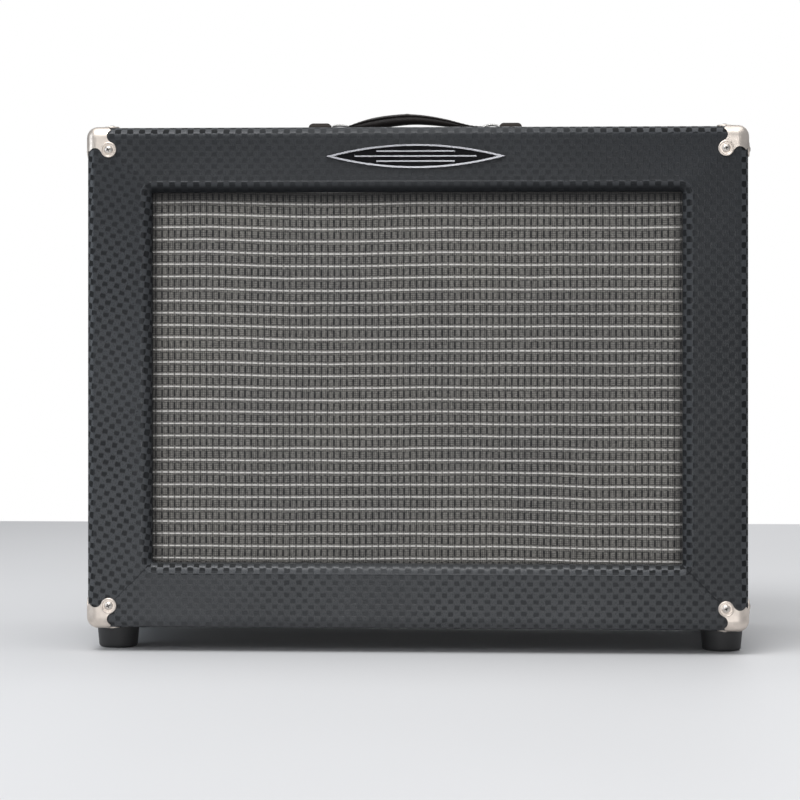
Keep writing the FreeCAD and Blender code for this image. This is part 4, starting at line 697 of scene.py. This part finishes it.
def clothMaterial():
    # silver dashes in rows, and between them a grey weave with short dark bars and broken dark threads
    material, shader, coords = newMaterial("grilleCloth")
    x, z = axes(coords, "XZ")
    drift = times(noise(coords, 5.5, 2.0), 0.0036)
    flutter = times(noise(coords, 38.0, 2.0), 0.0009)
    fromTop = minus(z, openingHigh - cloth["firstLine"])
    rowZ = plus(fromTop, plus(plus(drift, flutter), clothSag(x, z)))
    # drawn outwards at the sides
    pulled = plus(ease(x, -0.22, -0.12, 0.0031, 0.0016), ease(x, 0.1, 0.23, 0.0, -0.0023))
    columnX = plus(plus(x, pulled), times(noise(coords, 17.0, 2.0), 0.0022))
    place = maths("FRACT", maths("DIVIDE", rowZ, -cloth["linePitch"]))  # 0 at a line, growing down
    row = waves("COSINE", rowZ, cloth["linePitch"])
    column = waves("COSINE", columnX, cloth["dashPitch"])

    # one value per dash, so that neighbours differ
    cell = newNode(coords, "CombineXYZ", X=maths("FLOOR", maths("DIVIDE", columnX, cloth["dashPitch"])),
                   Y=maths("ROUND", maths("DIVIDE", rowZ, cloth["linePitch"])))
    chance = newNode(coords, "TexWhiteNoise", Vector=cell.outputs[0])
    chance.noise_dimensions = "2D"
    random = chance.outputs["Value"]
    dashLevel = ease(column, -0.9, -0.35)
    gapLevel = ramp(random, 0.0, 1.0, 0.16, 0.58)
    silver = times(ease(row, 0.905, 0.972), larger(gapLevel, dashLevel))
    barAcross = times(ease(column, -0.25, -0.74), ramp(random, 0.0, 1.0, 0.78, 1.05))
    barEnds = times(ease(place, 0.2, 0.32), ease(place, 0.86, 0.74))
    bars = times(barAcross, barEnds)
    threads, picks, uprights, seamsUp = clothThreads(coords, rowZ, columnX, place, column)
    fibres = noise(coords, 1100.0, 2.0)

    ground = mixColor(ramp(noise(coords, 9.0, 3.0), 0.3, 0.7), cloth["ground"], cloth["warm"])
    ground = mixColor(ramp(noise(coords, 420.0, 1.0), 0.45, 0.7, 0.0, 0.3), ground, cloth["pale"])
    for share in (times(uprights, 0.72), times(picks, 0.66), times(seamsUp, 0.22),
                  ramp(fibres, 0.35, 0.7, 0.0, 0.3), times(threads, 0.72), times(bars, 0.9)):
        ground = mixColor(share, ground, cloth["dark"])
    # painted shadow: the cloth darkens near the top and side edges, under the rim of the opening
    topEdgeShadow = ease(z, openingHigh - 0.014, openingHigh - 0.002, 0.0, 0.75)
    sideEdgeShadow = ease(absolute(x), openingHalf - 0.012, openingHalf, 0.0, 0.55)
    color = mixColor(larger(topEdgeShadow, sideEdgeShadow), mixColor(silver, ground, cloth["silver"]), cloth["dark"])
    paint(shader, color=color, roughness=ramp(silver, 0.0, 1.0, 0.78, 0.42), metallic=times(silver, 0.22),
          specular=0.3)
    height = plus(minus(silver, times(bars, 0.7)), times(uprights, 0.12))
    height = minus(height, times(threads, 0.25))
    bump(shader, plus(height, times(fibres, 0.2)), 0.8, 0.0005)
    return material


def makeCloth():
    bm = bmesh.new()
    bmesh.ops.create_grid(bm, x_segments=96, y_segments=72, size=0.5)
    size = clothHigh - clothLow
    middle = (clothLow + clothHigh) / 2
    front = clothHigh.y - cloth["gap"] - cloth["thickness"]
    for vert in bm.verts:
        across, up = vert.co.x * 2, vert.co.y * 2
        inside = max(0.0, min(1.0, (1 - max(abs(across), abs(up))) * 6))
        pull = cloth["ripple"] * math.sin(across * 23 + up * 3) + cloth["fold"] * math.sin(up * 17)
        vert.co = Vector((middle.x + across * size.x / 2, front + pull * inside, middle.z + up * size.z / 2))
    bmesh.ops.recalc_face_normals(bm, faces=bm.faces)
    if bm.faces[0].normal.y > 0:
        bmesh.ops.reverse_faces(bm, faces=bm.faces)
    piece = finish("grilleCloth", bm, clothMaterial(), "cabinet", 60)
    thicken(piece, "weave", cloth["thickness"] - cloth["gap"])
    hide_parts("grille_cloth")


makeCloth()
print("grille cloth made")


handle = {"half": 0.067, "width": 0.0115, "rings": 84, "pinch": 0.0005, "pinchX": -0.008, "pinchReach": 0.0016,
          "top": ((-1.0, 0.0082), (-0.8, 0.0134), (-0.6, 0.0172), (-0.35, 0.0197), (-0.12, 0.0206), (0.15, 0.0192),
                  (0.45, 0.0154), (0.65, 0.0118), (0.82, 0.0091), (1.0, 0.0082)),
          "under": ((-1.0, 0.005), (-0.7, 0.0052), (-0.33, 0.0086), (-0.08, 0.0103), (0.12, 0.0102), (0.43, 0.0084),
                    (0.72, 0.0053), (1.0, 0.005)),
          "section": ((0.0, 1.0), (0.6, 0.98), (0.9, 0.9), (0.99, 0.8), (1.0, 0.66), (0.97, 0.52), (0.86, 0.44),
                      (0.83, 0.3), (0.86, 0.05), (0.8, -0.4), (0.58, -0.76), (0.3, -0.95), (0.0, -1.0))}
stitch = {"pitch": 0.0042, "inset": 0.004, "radius": 0.00034, "long": (3.6, 1.0, 0.8), "slant": 0.12, "out": 0.93,
          "up": 0.84}
strap = {"half": 0.008, "thick": 0.0008, "bevel": 0.0007, "rise": 0.0082, "bow": 0.0018, "inside": 0.004,
         "reach": 0.0215, "steps": 20, "risenAt": 2.4, "bowEnd": 0.7}
gripLow, gripHigh = (Vector(c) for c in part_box("handle_grip"))
handleX = (gripLow.x + gripHigh.x) / 2


def heightAt(points, share):
    # smooth curve through the given (share, height) points
    share = max(points[0][0], min(points[-1][0], share))
    k = max(i for i in range(len(points) - 1) if points[i][0] <= share + 1e-9)
    (x0, h0), (x1, h1) = points[k], points[k + 1]
    before, after = points[max(k - 1, 0)], points[min(k + 2, len(points) - 1)]
    slope0 = (h1 - before[1]) / (x1 - before[0])
    slope1 = (after[1] - h0) / (after[0] - x0)
    t, span = (share - x0) / (x1 - x0), x1 - x0
    return (h0 * (1 + 2 * t) * (1 - t) ** 2 + slope0 * span * t * (1 - t) ** 2 + h1 * t * t * (3 - 2 * t)
            + slope1 * span * t * t * (t - 1))


def gripSpan(x):
    # height of the grip's middle line, and half its thickness
    share = (x - handleX) / handle["half"]
    low, high = (topZ + heightAt(handle[edge], share) for edge in ("under", "top"))
    return (low + high) / 2, (high - low) / 2


def leatherMaterial():
    look = {"worn": (0.027, 0.022, 0.02), "pale": (0.054, 0.044, 0.039), "crease": (0.008, 0.007, 0.007)}
    material, shader, coords = newMaterial("handleLeather")
    patches = wearOn(coords, 45.0, 900.0, 0.3)["Patches"]
    cells = newNode(coords, "TexVoronoi", Vector=coords, Scale=850.0)
    cells.feature = "DISTANCE_TO_EDGE"
    pebble = ramp(cells.outputs["Distance"], 0.0, 0.28)
    shade = mixColor(ramp(patches, 0.35, 0.7), look["worn"], look["pale"])
    shade = mixColor(times(minus(1.0, pebble), 0.5), shade, look["crease"])
    paint(shader, color=shade, roughness=ramp(patches, 0.3, 0.7, 0.34, 0.5))
    bump(shader, pebble, 0.6, 0.00015)
    return material


leather = leatherMaterial()
thread = plastic("waxedThread", (0.02, 0.018, 0.017), 0.5, 2600.0, 0.00004)


def gripSection(x):
    # a flat stitched band on top of a rolled core, seen along the grip
    middle, thick = gripSpan(x)
    share = abs(x - handleX) / handle["half"]
    wide = handle["width"] * (1 - 0.1 * share ** 8)
    pinch = handle["pinch"] * math.exp(-((x - handleX - handle["pinchX"]) / handle["pinchReach"]) ** 2)
    points = [(y * wide, z * thick + (pinch if z > 0.5 else 0.0)) for y, z in handle["section"]]
    return [Vector((x, y, middle + z)) for y, z in points + [(-y, z) for y, z in reversed(points[1:-1])]]


def makeGrip():
    bm = bmesh.new()
    rings = []
    for k in range(handle["rings"] + 1):
        x = handleX - handle["half"] + 2 * handle["half"] * k / handle["rings"]
        rings.append([bm.verts.new(p) for p in gripSection(x)])
    closedTube(bm, rings)
    piece = finish("handleGrip", bm, leather, "handle", 60)
    smooth = piece.modifiers.new("smooth", "SUBSURF")
    smooth.levels = smooth.render_levels = 1
    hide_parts("handle_grip")


def makeStitches():
    # short slanting stitches along both edges of the band
    bm = bmesh.new()
    count = int(2 * (handle["half"] - stitch["inset"]) / stitch["pitch"])
    for side in (-1, 1):
        for k in range(count + 1):
            x = handleX + (k - count / 2) * stitch["pitch"]
            middle, thick = gripSpan(x)
            slope = math.atan2(gripSpan(x + 0.002)[0] - gripSpan(x - 0.002)[0], 0.004)
            made = bmesh.ops.create_uvsphere(bm, u_segments=6, v_segments=4, radius=stitch["radius"])["verts"]
            bmesh.ops.scale(bm, verts=made, vec=stitch["long"])
            turn = Matrix.Rotation(-slope, 3, "Y") @ Matrix.Rotation(side * stitch["slant"], 3, "Z")
            bmesh.ops.rotate(bm, verts=made, matrix=turn)
            place = Vector((x, side * handle["width"] * stitch["out"], middle + thick * stitch["up"]))
            bmesh.ops.translate(bm, verts=made, vec=place)
    finish("handleStitches", bm, thread, "handle", 80)


def makeStrapEnd(name, side):
    # a bare metal strap from inside the grip into its end cap, bowed up before the cap
    bm = bmesh.new()
    near = handleX + side * (handle["half"] - strap["inside"])
    far = handleX + side * (handle["half"] + strap["reach"])
    low, height = gripSpan(near)[0], topZ + strap["rise"]
    wide, thick, bevel = strap["half"], strap["thick"], strap["bevel"]
    section = [(-wide, -thick * 0.4), (-wide + bevel, -thick), (wide - bevel, -thick), (wide, -thick * 0.4),
               (wide, thick * 0.4), (wide - bevel, thick), (-wide + bevel, thick), (-wide, thick * 0.4)]
    rings = []
    for k in range(strap["steps"] + 1):
        share = k / strap["steps"]
        risen, bowed = min(1.0, share * strap["risenAt"]), min(1.0, share / strap["bowEnd"])
        z = low + (height - low) * (3 * risen ** 2 - 2 * risen ** 3) + strap["bow"] * (1 - (2 * bowed - 1) ** 4)
        rings.append([bm.verts.new((near + (far - near) * share, y, z + dz)) for y, dz in section])
    closedTube(bm, rings)
    piece = finish(name, bm, brightSteel, None, 35)
    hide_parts("handle_strap_ends")
    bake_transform(piece)


makeGrip()
makeStitches()
makeStrapEnd("strapEndLeft", -1)
makeStrapEnd("strapEndRight", 1)
dress(plastic("handleCapMoulding", (0.018, 0.012, 0.008), 0.52, 1500.0, 0.00004, 0.2, dust=0.05),
      "handle_end_caps")
print("handle made")


def badgeMaterial():
    # polished rim and bars around a sunk black field
    low, high = (Vector(c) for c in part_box("badge_plate"))
    floorY = (low.y + high.y) / 2
    material, shader, coords = newMaterial("badgeEnamel")
    bright = ramp(axes(coords, "Y")[0], floorY - 0.0002, floorY - 0.0006)
    wear = wearOn(coords, 60.0, 1500.0, 0.3)
    dull = ramp(wear["Patches"], 0.3, 0.75)
    plated = mixColor(dull, (0.4, 0.4, 0.42), (0.24, 0.24, 0.26))
    paint(shader, color=mixColor(bright, (0.004, 0.004, 0.005), plated), metallic=bright,
          specular=ramp(bright, 0.0, 1.0, 0.05, 0.5), roughness=ramp(dull, 0.0, 1.0, 0.14, 0.24))
    bump(shader, wear["Specks"], 0.3, 0.00001)
    return material


dress(badgeMaterial(), "badge_plate")
dress(vinylFlat, "lower_back_panel")


faceY = panelHigh.y
knobNodes = sorted(name for name in nodes if name.endswith("_knob"))


def knobCentre(name):
    low, high = (Vector(c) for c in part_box(name))
    return Vector(((low.x + high.x) / 2, high.y, (low.z + high.z) / 2))


pointer = {"size": (0.0012, 0.0004, 0.007), "place": (0, -0.00025, 0.0052), "edge": 0.00012}


def makePointers():
    for name in knobNodes:
        bm = bmesh.new()
        addBox(bm, pointer["size"], knobCentre(name) + Vector(pointer["place"]))
        roundEdges(bm, bm.edges, pointer["edge"], 2)
        finish(name.replace("_knob", "Pointer"), bm, printWhite, name.replace("_knob", "_control"), 40)


dial = {"radius": 0.0172, "tickInner": 0.014, "tickOuter": 0.0152, "tickHalf": 0.00022, "text": 0.0032,
        "sweep": math.radians(300), "border": 0.0052, "line": 0.0005, "switchText": 0.003, "switchReach": 0.0112,
        "lift": 0.00006}


def labelMesh(text, size):
    curve = bpy.data.curves.new("label", "FONT")
    curve.body = text
    curve.size = size
    curve.align_x = curve.align_y = "CENTER"
    curve.resolution_u = 3
    label = bpy.data.objects.new("label", curve)
    mesh = bpy.data.meshes.new_from_object(label)
    bpy.data.objects.remove(label)
    bpy.data.curves.remove(curve)
    return mesh


def placeLabel(bm, mesh, place):
    # the label is stood up and turned to read from behind the cabinet
    start = len(bm.verts)
    bm.from_mesh(mesh)
    bm.verts.ensure_lookup_table()
    made = bm.verts[start:]
    for angle, axis in ((math.pi / 2, "X"), (math.pi, "Z")):
        bmesh.ops.rotate(bm, verts=made, matrix=Matrix.Rotation(angle, 3, axis))
    bmesh.ops.translate(bm, verts=made, vec=place)


def addFace(bm, corners):
    bm.faces.new([bm.verts.new(c) for c in corners])


def makePanelPrint():
    # plain numbers and ticks round each knob, on and off at the switches and a thin line round the panel
    bm = bmesh.new()
    numbers = [labelMesh(str(k), dial["text"]) for k in range(11)]
    switchLabels = [labelMesh(text, dial["switchText"]) for text in ("ON", "OFF")]
    lift = faceY + dial["lift"]
    inset, line = dial["border"], dial["line"]
    left, right = panelLow.x + inset, panelHigh.x - inset
    bottom, top = panelLow.z + inset, panelHigh.z - inset
    for x0, z0, x1, z1 in ((left, bottom, right, bottom + line), (left, top - line, right, top),
                           (left, bottom + line, left + line, top - line),
                           (right - line, bottom + line, right, top - line)):
        addFace(bm, [(x, lift, z) for x, z in ((x0, z0), (x1, z0), (x1, z1), (x0, z1))])
    for joint in frame["joints"]:
        if joint["name"].endswith("_flip"):
            x, z = joint["pos_m"][0], joint["pos_m"][2]
            for mesh, side in zip(switchLabels, (1, -1)):
                placeLabel(bm, mesh, Vector((x, lift, z + side * dial["switchReach"])))
    for name in knobNodes:
        centre = knobCentre(name)
        centre.y = lift
        for k, mesh in enumerate(numbers):
            angle = dial["sweep"] * (k / 10 - 0.5)
            # seen from behind, clockwise turns towards -X
            out = Vector((-math.sin(angle), 0, math.cos(angle)))
            placeLabel(bm, mesh, centre + out * dial["radius"])
            side = Vector((out.z, 0, -out.x)) * dial["tickHalf"]
            inner, outer = centre + out * dial["tickInner"], centre + out * dial["tickOuter"]
            addFace(bm, (inner - side, inner + side, outer + side, outer - side))
    bm.normal_update()
    for face in [f for f in bm.faces if f.normal.y < 0]:
        face.normal_flip()
    finish("panelPrint", bm, printWhite, "cabinet", 0)
    for mesh in numbers + switchLabels:
        bpy.data.meshes.remove(mesh)


makePointers()
makePanelPrint()
print("panel print made")


tube = {"wall": 0.0009, "glassRadius": 0.0154, "dome": 0.85, "domeSteps": 10, "glassTop": -0.0215,
        "neck": ((0.0135, -0.0151), (0.014, -0.0175)), "foot": ((0.015, -0.015), (0, -0.015)),
        "base": ((-0.0006, 0), (0, -0.0006), (0, -0.0125), (-0.0012, -0.014)), "getterShare": 0.93,
        "getterLift": 0.0007, "plate": (0.0176, 0.0124), "plateTop": -0.026, "plateEnds": 0.0305, "edge": 0.0003,
        "rib": (0.0032, 0.0008), "ribOut": 0.0108, "mica": 0.0134, "micaThick": 0.0006, "micaTop": -0.0245,
        "micaLow": 0.0035}


def glassMaterial():
    material, shader, coords = newMaterial("tubeGlass")
    wear = wearOn(coords, 25.0, 500.0, 0.1)
    shader.inputs["Transmission Weight"].default_value = 1.0
    shader.inputs["IOR"].default_value = 1.45
    paint(shader, color=mixColor(wear["Patches"], (0.96, 0.97, 0.97), (0.9, 0.92, 0.92)),
          roughness=ramp(wear["Specks"], 0.3, 0.8, 0.01, 0.07))
    return material


glass = glassMaterial()
getter = metal("getterMirror", (0.62, 0.6, 0.58), 0.14, 0.05)
anode = metal("anodeSheet", (0.1, 0.1, 0.105), 0.5, 0.08)
mica = plastic("micaDisc", (0.52, 0.48, 0.4), 0.3, 500.0, 0.00002)
bakelite = plastic("tubeBase", (0.02, 0.016, 0.014), 0.32, 900.0, 0.00003)


def spun(bm, outline, centre):
    # outline of (radius, height) turned round a vertical line through centre
    verts = [bm.verts.new(centre + Vector((r, 0, h))) for r, h in outline]
    edges = [bm.edges.new(pair) for pair in zip(verts, verts[1:])]
    bmesh.ops.spin(bm, geom=verts + edges, cent=centre, axis=(0, 0, 1), angle=2 * math.pi, steps=32, use_merge=True)
    bmesh.ops.remove_doubles(bm, verts=bm.verts, dist=1e-6)


def makeTubes():
    low, high = (Vector(c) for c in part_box("power_tubes"))
    baseRadius, length = (high.y - low.y) / 2, high.z - low.z
    bases, bulbs, inside, discs, mirrors = (bmesh.new() for k in range(5))
    radius = tube["glassRadius"]
    shoulder = radius - length
    turns = [math.pi / 2 * k / tube["domeSteps"] for k in range(tube["domeSteps"])]
    dome = [(radius * math.cos(a), shoulder - radius * tube["dome"] * math.sin(a)) for a in turns]
    base = [(0, 0), *((baseRadius + r, h) for r, h in tube["base"]), *tube["foot"]]
    bulb = [*tube["neck"], (radius, tube["glassTop"]), *dome, (0, -length + 0.0002)]
    mirror = [(r * tube["getterShare"], h + tube["getterLift"]) for r, h in reversed(dome[3:])]
    height = -shoulder - tube["plateEnds"]
    for x in (low.x + baseRadius, high.x - baseRadius):
        top = Vector((x, (low.y + high.y) / 2, high.z))
        spun(bases, base, top)
        spun(bulbs, bulb, top)
        spun(mirrors, [(0.0, -length + 0.0016)] + mirror, top)
        for z in (tube["micaTop"], shoulder + tube["micaLow"]):
            under = z - tube["micaThick"]
            spun(discs, [(0, z), (tube["mica"], z), (tube["mica"], under), (0, under)], top)
        middle = top + Vector((0, 0, tube["plateTop"] - height / 2))
        addBox(inside, (*tube["plate"], height), middle)
        for side in (-1, 1):
            addBox(inside, (*tube["rib"], height), middle + Vector((side * tube["ribOut"], 0, 0)))
    roundEdges(inside, [e for e in inside.edges if alongAxis(e, 2)], tube["edge"], 2)
    for bm, name, material in ((bases, "tubeBases", bakelite), (inside, "tubeAnodes", anode), (discs, "tubeMica", mica),
                               (mirrors, "tubeGetters", getter), (bulbs, "tubeBulbs", glass)):
        bmesh.ops.recalc_face_normals(bm, faces=bm.faces)
        piece = finish(name, bm, material, "cabinet", 35)
        if name == "tubeBulbs":
            thicken(piece, "wall", tube["wall"])
            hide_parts("power_tubes")


makeTubes()
dress(aluminium, "preamp_tubes")
print("tubes made")


def coreMaterial(name, stack):
    # enamelled bells on both sides of a stack of thin steel sheets
    look = {"middleY": 0.02, "sheetPitch": 0.0009}
    material, shader, coords = newMaterial(name)
    y = axes(coords, "Y")[0]
    core = minus(1.0, ramp(absolute(minus(y, look["middleY"])), stack / 2 - 0.0001, stack / 2))
    sheets = waves("SINE", y, look["sheetPitch"])
    wear = wearOn(coords, 30.0, 900.0, 0.3)
    steel = mixColor(ramp(sheets, -0.6, 0.4), (0.035, 0.034, 0.033), (0.12, 0.115, 0.11))
    enamel = mixColor(wear["Patches"], (0.012, 0.012, 0.013), (0.022, 0.022, 0.024))
    paint(shader, color=mixColor(core, enamel, steel), metallic=times(core, 0.6),
          roughness=ramp(core, 0.0, 1.0, 0.34, 0.48))
    bump(shader, plus(times(times(sheets, core), 0.8), times(wear["Specks"], 0.6)), 0.6, 0.00012)
    return material


dress(coreMaterial("powerCore", 0.04), "power_transformer")
dress(coreMaterial("outputCore", 0.028), "output_transformer")


def ringed(name, color, roughness, pitch, relief):
    # pressed rings round the speaker's axis, with paper fibres
    material, shader, coords = newMaterial(name)
    x, z = axes(coords, "XZ")
    rings = waves("SINE", distance(x, minus(z, middleZ)), pitch)
    fibre = noise(coords, 650.0, 4.0)
    patches = wearOn(coords, 14.0, 1100.0, 0.3)["Patches"]
    shade = mixColor(ramp(fibre, 0.3, 0.7), scaled(color, 0.7), scaled(color, 1.3))
    shade = mixColor(times(ramp(rings, 0.4, 1.0), 0.4), shade, scaled(color, 0.5))
    paint(shader, color=shade, roughness=ramp(patches, 0.3, 0.7, roughness - 0.08, roughness + 0.08), specular=0.25)
    bump(shader, plus(rings, times(fibre, 0.5)), 0.7, relief)
    return material


dress(ringed("ribbedPaper", (0.03, 0.028, 0.026), 0.8, 0.0125, 0.0005), "speaker_cone")
dress(ringed("dustCapFelt", (0.02, 0.02, 0.02), 0.86, 0.0016, 0.00006), "dust_cap")
dress(ringed("spiderWeave", (0.34, 0.19, 0.07), 0.78, 0.0012, 0.0001), "speaker_spider")


def jewelMaterial():
    # chrome bezel with a red jewel in the middle, told apart by distance from the lamp's axis
    look = {"jewelRadius": 0.0066, "chrome": (0.78, 0.78, 0.8), "red": (0.62, 0.012, 0.01),
            "deep": (0.22, 0.003, 0.003)}
    low, high = (Vector(c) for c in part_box("pilot_lamp"))
    centre = (low + high) / 2
    material, shader, coords = newMaterial("lampJewel")
    x, z = axes(coords, "XZ")
    fromAxis = distance(minus(x, centre.x), minus(z, centre.z))
    outside = ramp(fromAxis, look["jewelRadius"], look["jewelRadius"] + 0.0001)
    facets = newNode(coords, "TexVoronoi", Vector=coords, Scale=520.0).outputs["Distance"]
    patches = wearOn(coords, 80.0, 1500.0, 0.2)["Patches"]
    paint(shader, color=mixColor(outside, mixColor(facets, look["red"], look["deep"]), look["chrome"]),
          metallic=outside, roughness=ramp(patches, 0.3, 0.7, 0.08, 0.16))
    bump(shader, times(facets, minus(1.0, outside)), 0.6, 0.0003)
    return material


dress(jewelMaterial(), "pilot_lamp")
print("inner parts dressed")


view = {"distance": 2.5, "height": 0.315, "across": 0.127, "lens": 122.5, "shiftX": -0.0195, "shiftY": -0.1103}


def makeCamera():
    data = bpy.data.cameras.new("viewCamera")
    data.lens, data.sensor_width, data.clip_start = view["lens"], 36, 0.05
    data.shift_x, data.shift_y = view["shiftX"], view["shiftY"]
    camera = addObject("viewCamera", data)
    camera.location = (view["across"], frontY - view["distance"], view["height"])
    # level, and turned to face the middle of the front
    camera.rotation_euler = (math.radians(90), 0, math.atan2(view["across"], view["distance"]))
    bpy.context.scene.camera = camera


def makeFloor():
    ground = {"half": 4.0, "behindFront": 1.56, "pale": (0.78, 0.78, 0.79), "dull": (0.74, 0.74, 0.75)}
    material, shader, coords = newMaterial("paleFloor")
    cloudy = noise(coords, 1.2, 2.0)
    paint(shader, color=mixColor(cloudy, ground["dull"], ground["pale"]),
          roughness=ramp(cloudy, 0.3, 0.7, 0.55, 0.65), specular=0.2)
    bm = bmesh.new()
    bmesh.ops.create_grid(bm, x_segments=12, y_segments=12, size=ground["half"])
    bmesh.ops.translate(bm, verts=bm.verts, vec=(0, frontY + ground["behindFront"] - ground["half"], 0))
    floor = meshObject("floor", bm, material)


def softBox(name, place, target, size, energy, color=(1, 1, 1)):
    data = bpy.data.lights.new(name, "AREA")
    data.shape = "RECTANGLE"
    data.size, data.size_y = size
    data.energy = energy
    data.color = color
    lamp = addObject(name, data)
    lamp.location = place
    lamp.rotation_euler = (Vector(target) - Vector(place)).to_track_quat("-Z", "Y").to_euler()
    return lamp


def makeWorld():
    # white where the camera sees it, dimmer and slightly blue where it lights or is mirrored
    world = bpy.data.worlds.new("paleStudio")
    bpy.context.scene.world = world
    world.use_nodes = True
    world.node_tree.nodes.clear()
    surface = world.node_tree.nodes.new("ShaderNodeOutputWorld").inputs["Surface"]
    paths = newNode(surface, "LightPath").outputs
    seen = newNode(surface, "Background", Color=(1, 1, 1), Strength=1.0)
    lit = newNode(surface, "Background", Color=(0.93, 0.96, 1.0),
                  Strength=ramp(paths["Is Glossy Ray"], 0.0, 1.0, 0.2, 0.42))
    mix = newNode(surface, "MixShader")
    feedAll(mix, (paths["Is Camera Ray"], lit.outputs[0], seen.outputs[0]))
    link(mix.outputs[0], surface)


makeCamera()
makeFloor()
makeWorld()
softBox("keyLight", (-0.7, -1.7, 2.9), (0, -0.1, 0.25), (1.8, 1.3), 44)
softBox("frontCard", (-1.0, -3.3, 2.0), (0, 0, 0.2), (2.8, 0.8), 13)
softBox("lowLight", (0.05, -2.7, 0.28), (0, 0, 0.03), (0.9, 0.4), 9)
softBox("sideLight", (-2.2, -0.7, 0.9), (-0.3, 0, 0.25), (0.8, 1.4), 9, (0.84, 0.92, 1.0))
softBox("topLight", (0.0, -0.4, 2.4), (0, -0.4, 0.3), (3.0, 2.4), 32)
softBox("rearLight", (0.5, 2.0, 1.0), (0, 0.1, 0.25), (1.3, 0.8), 7).visible_camera = False
bpy.context.scene.view_settings.view_transform = "Standard"
print("stage made")
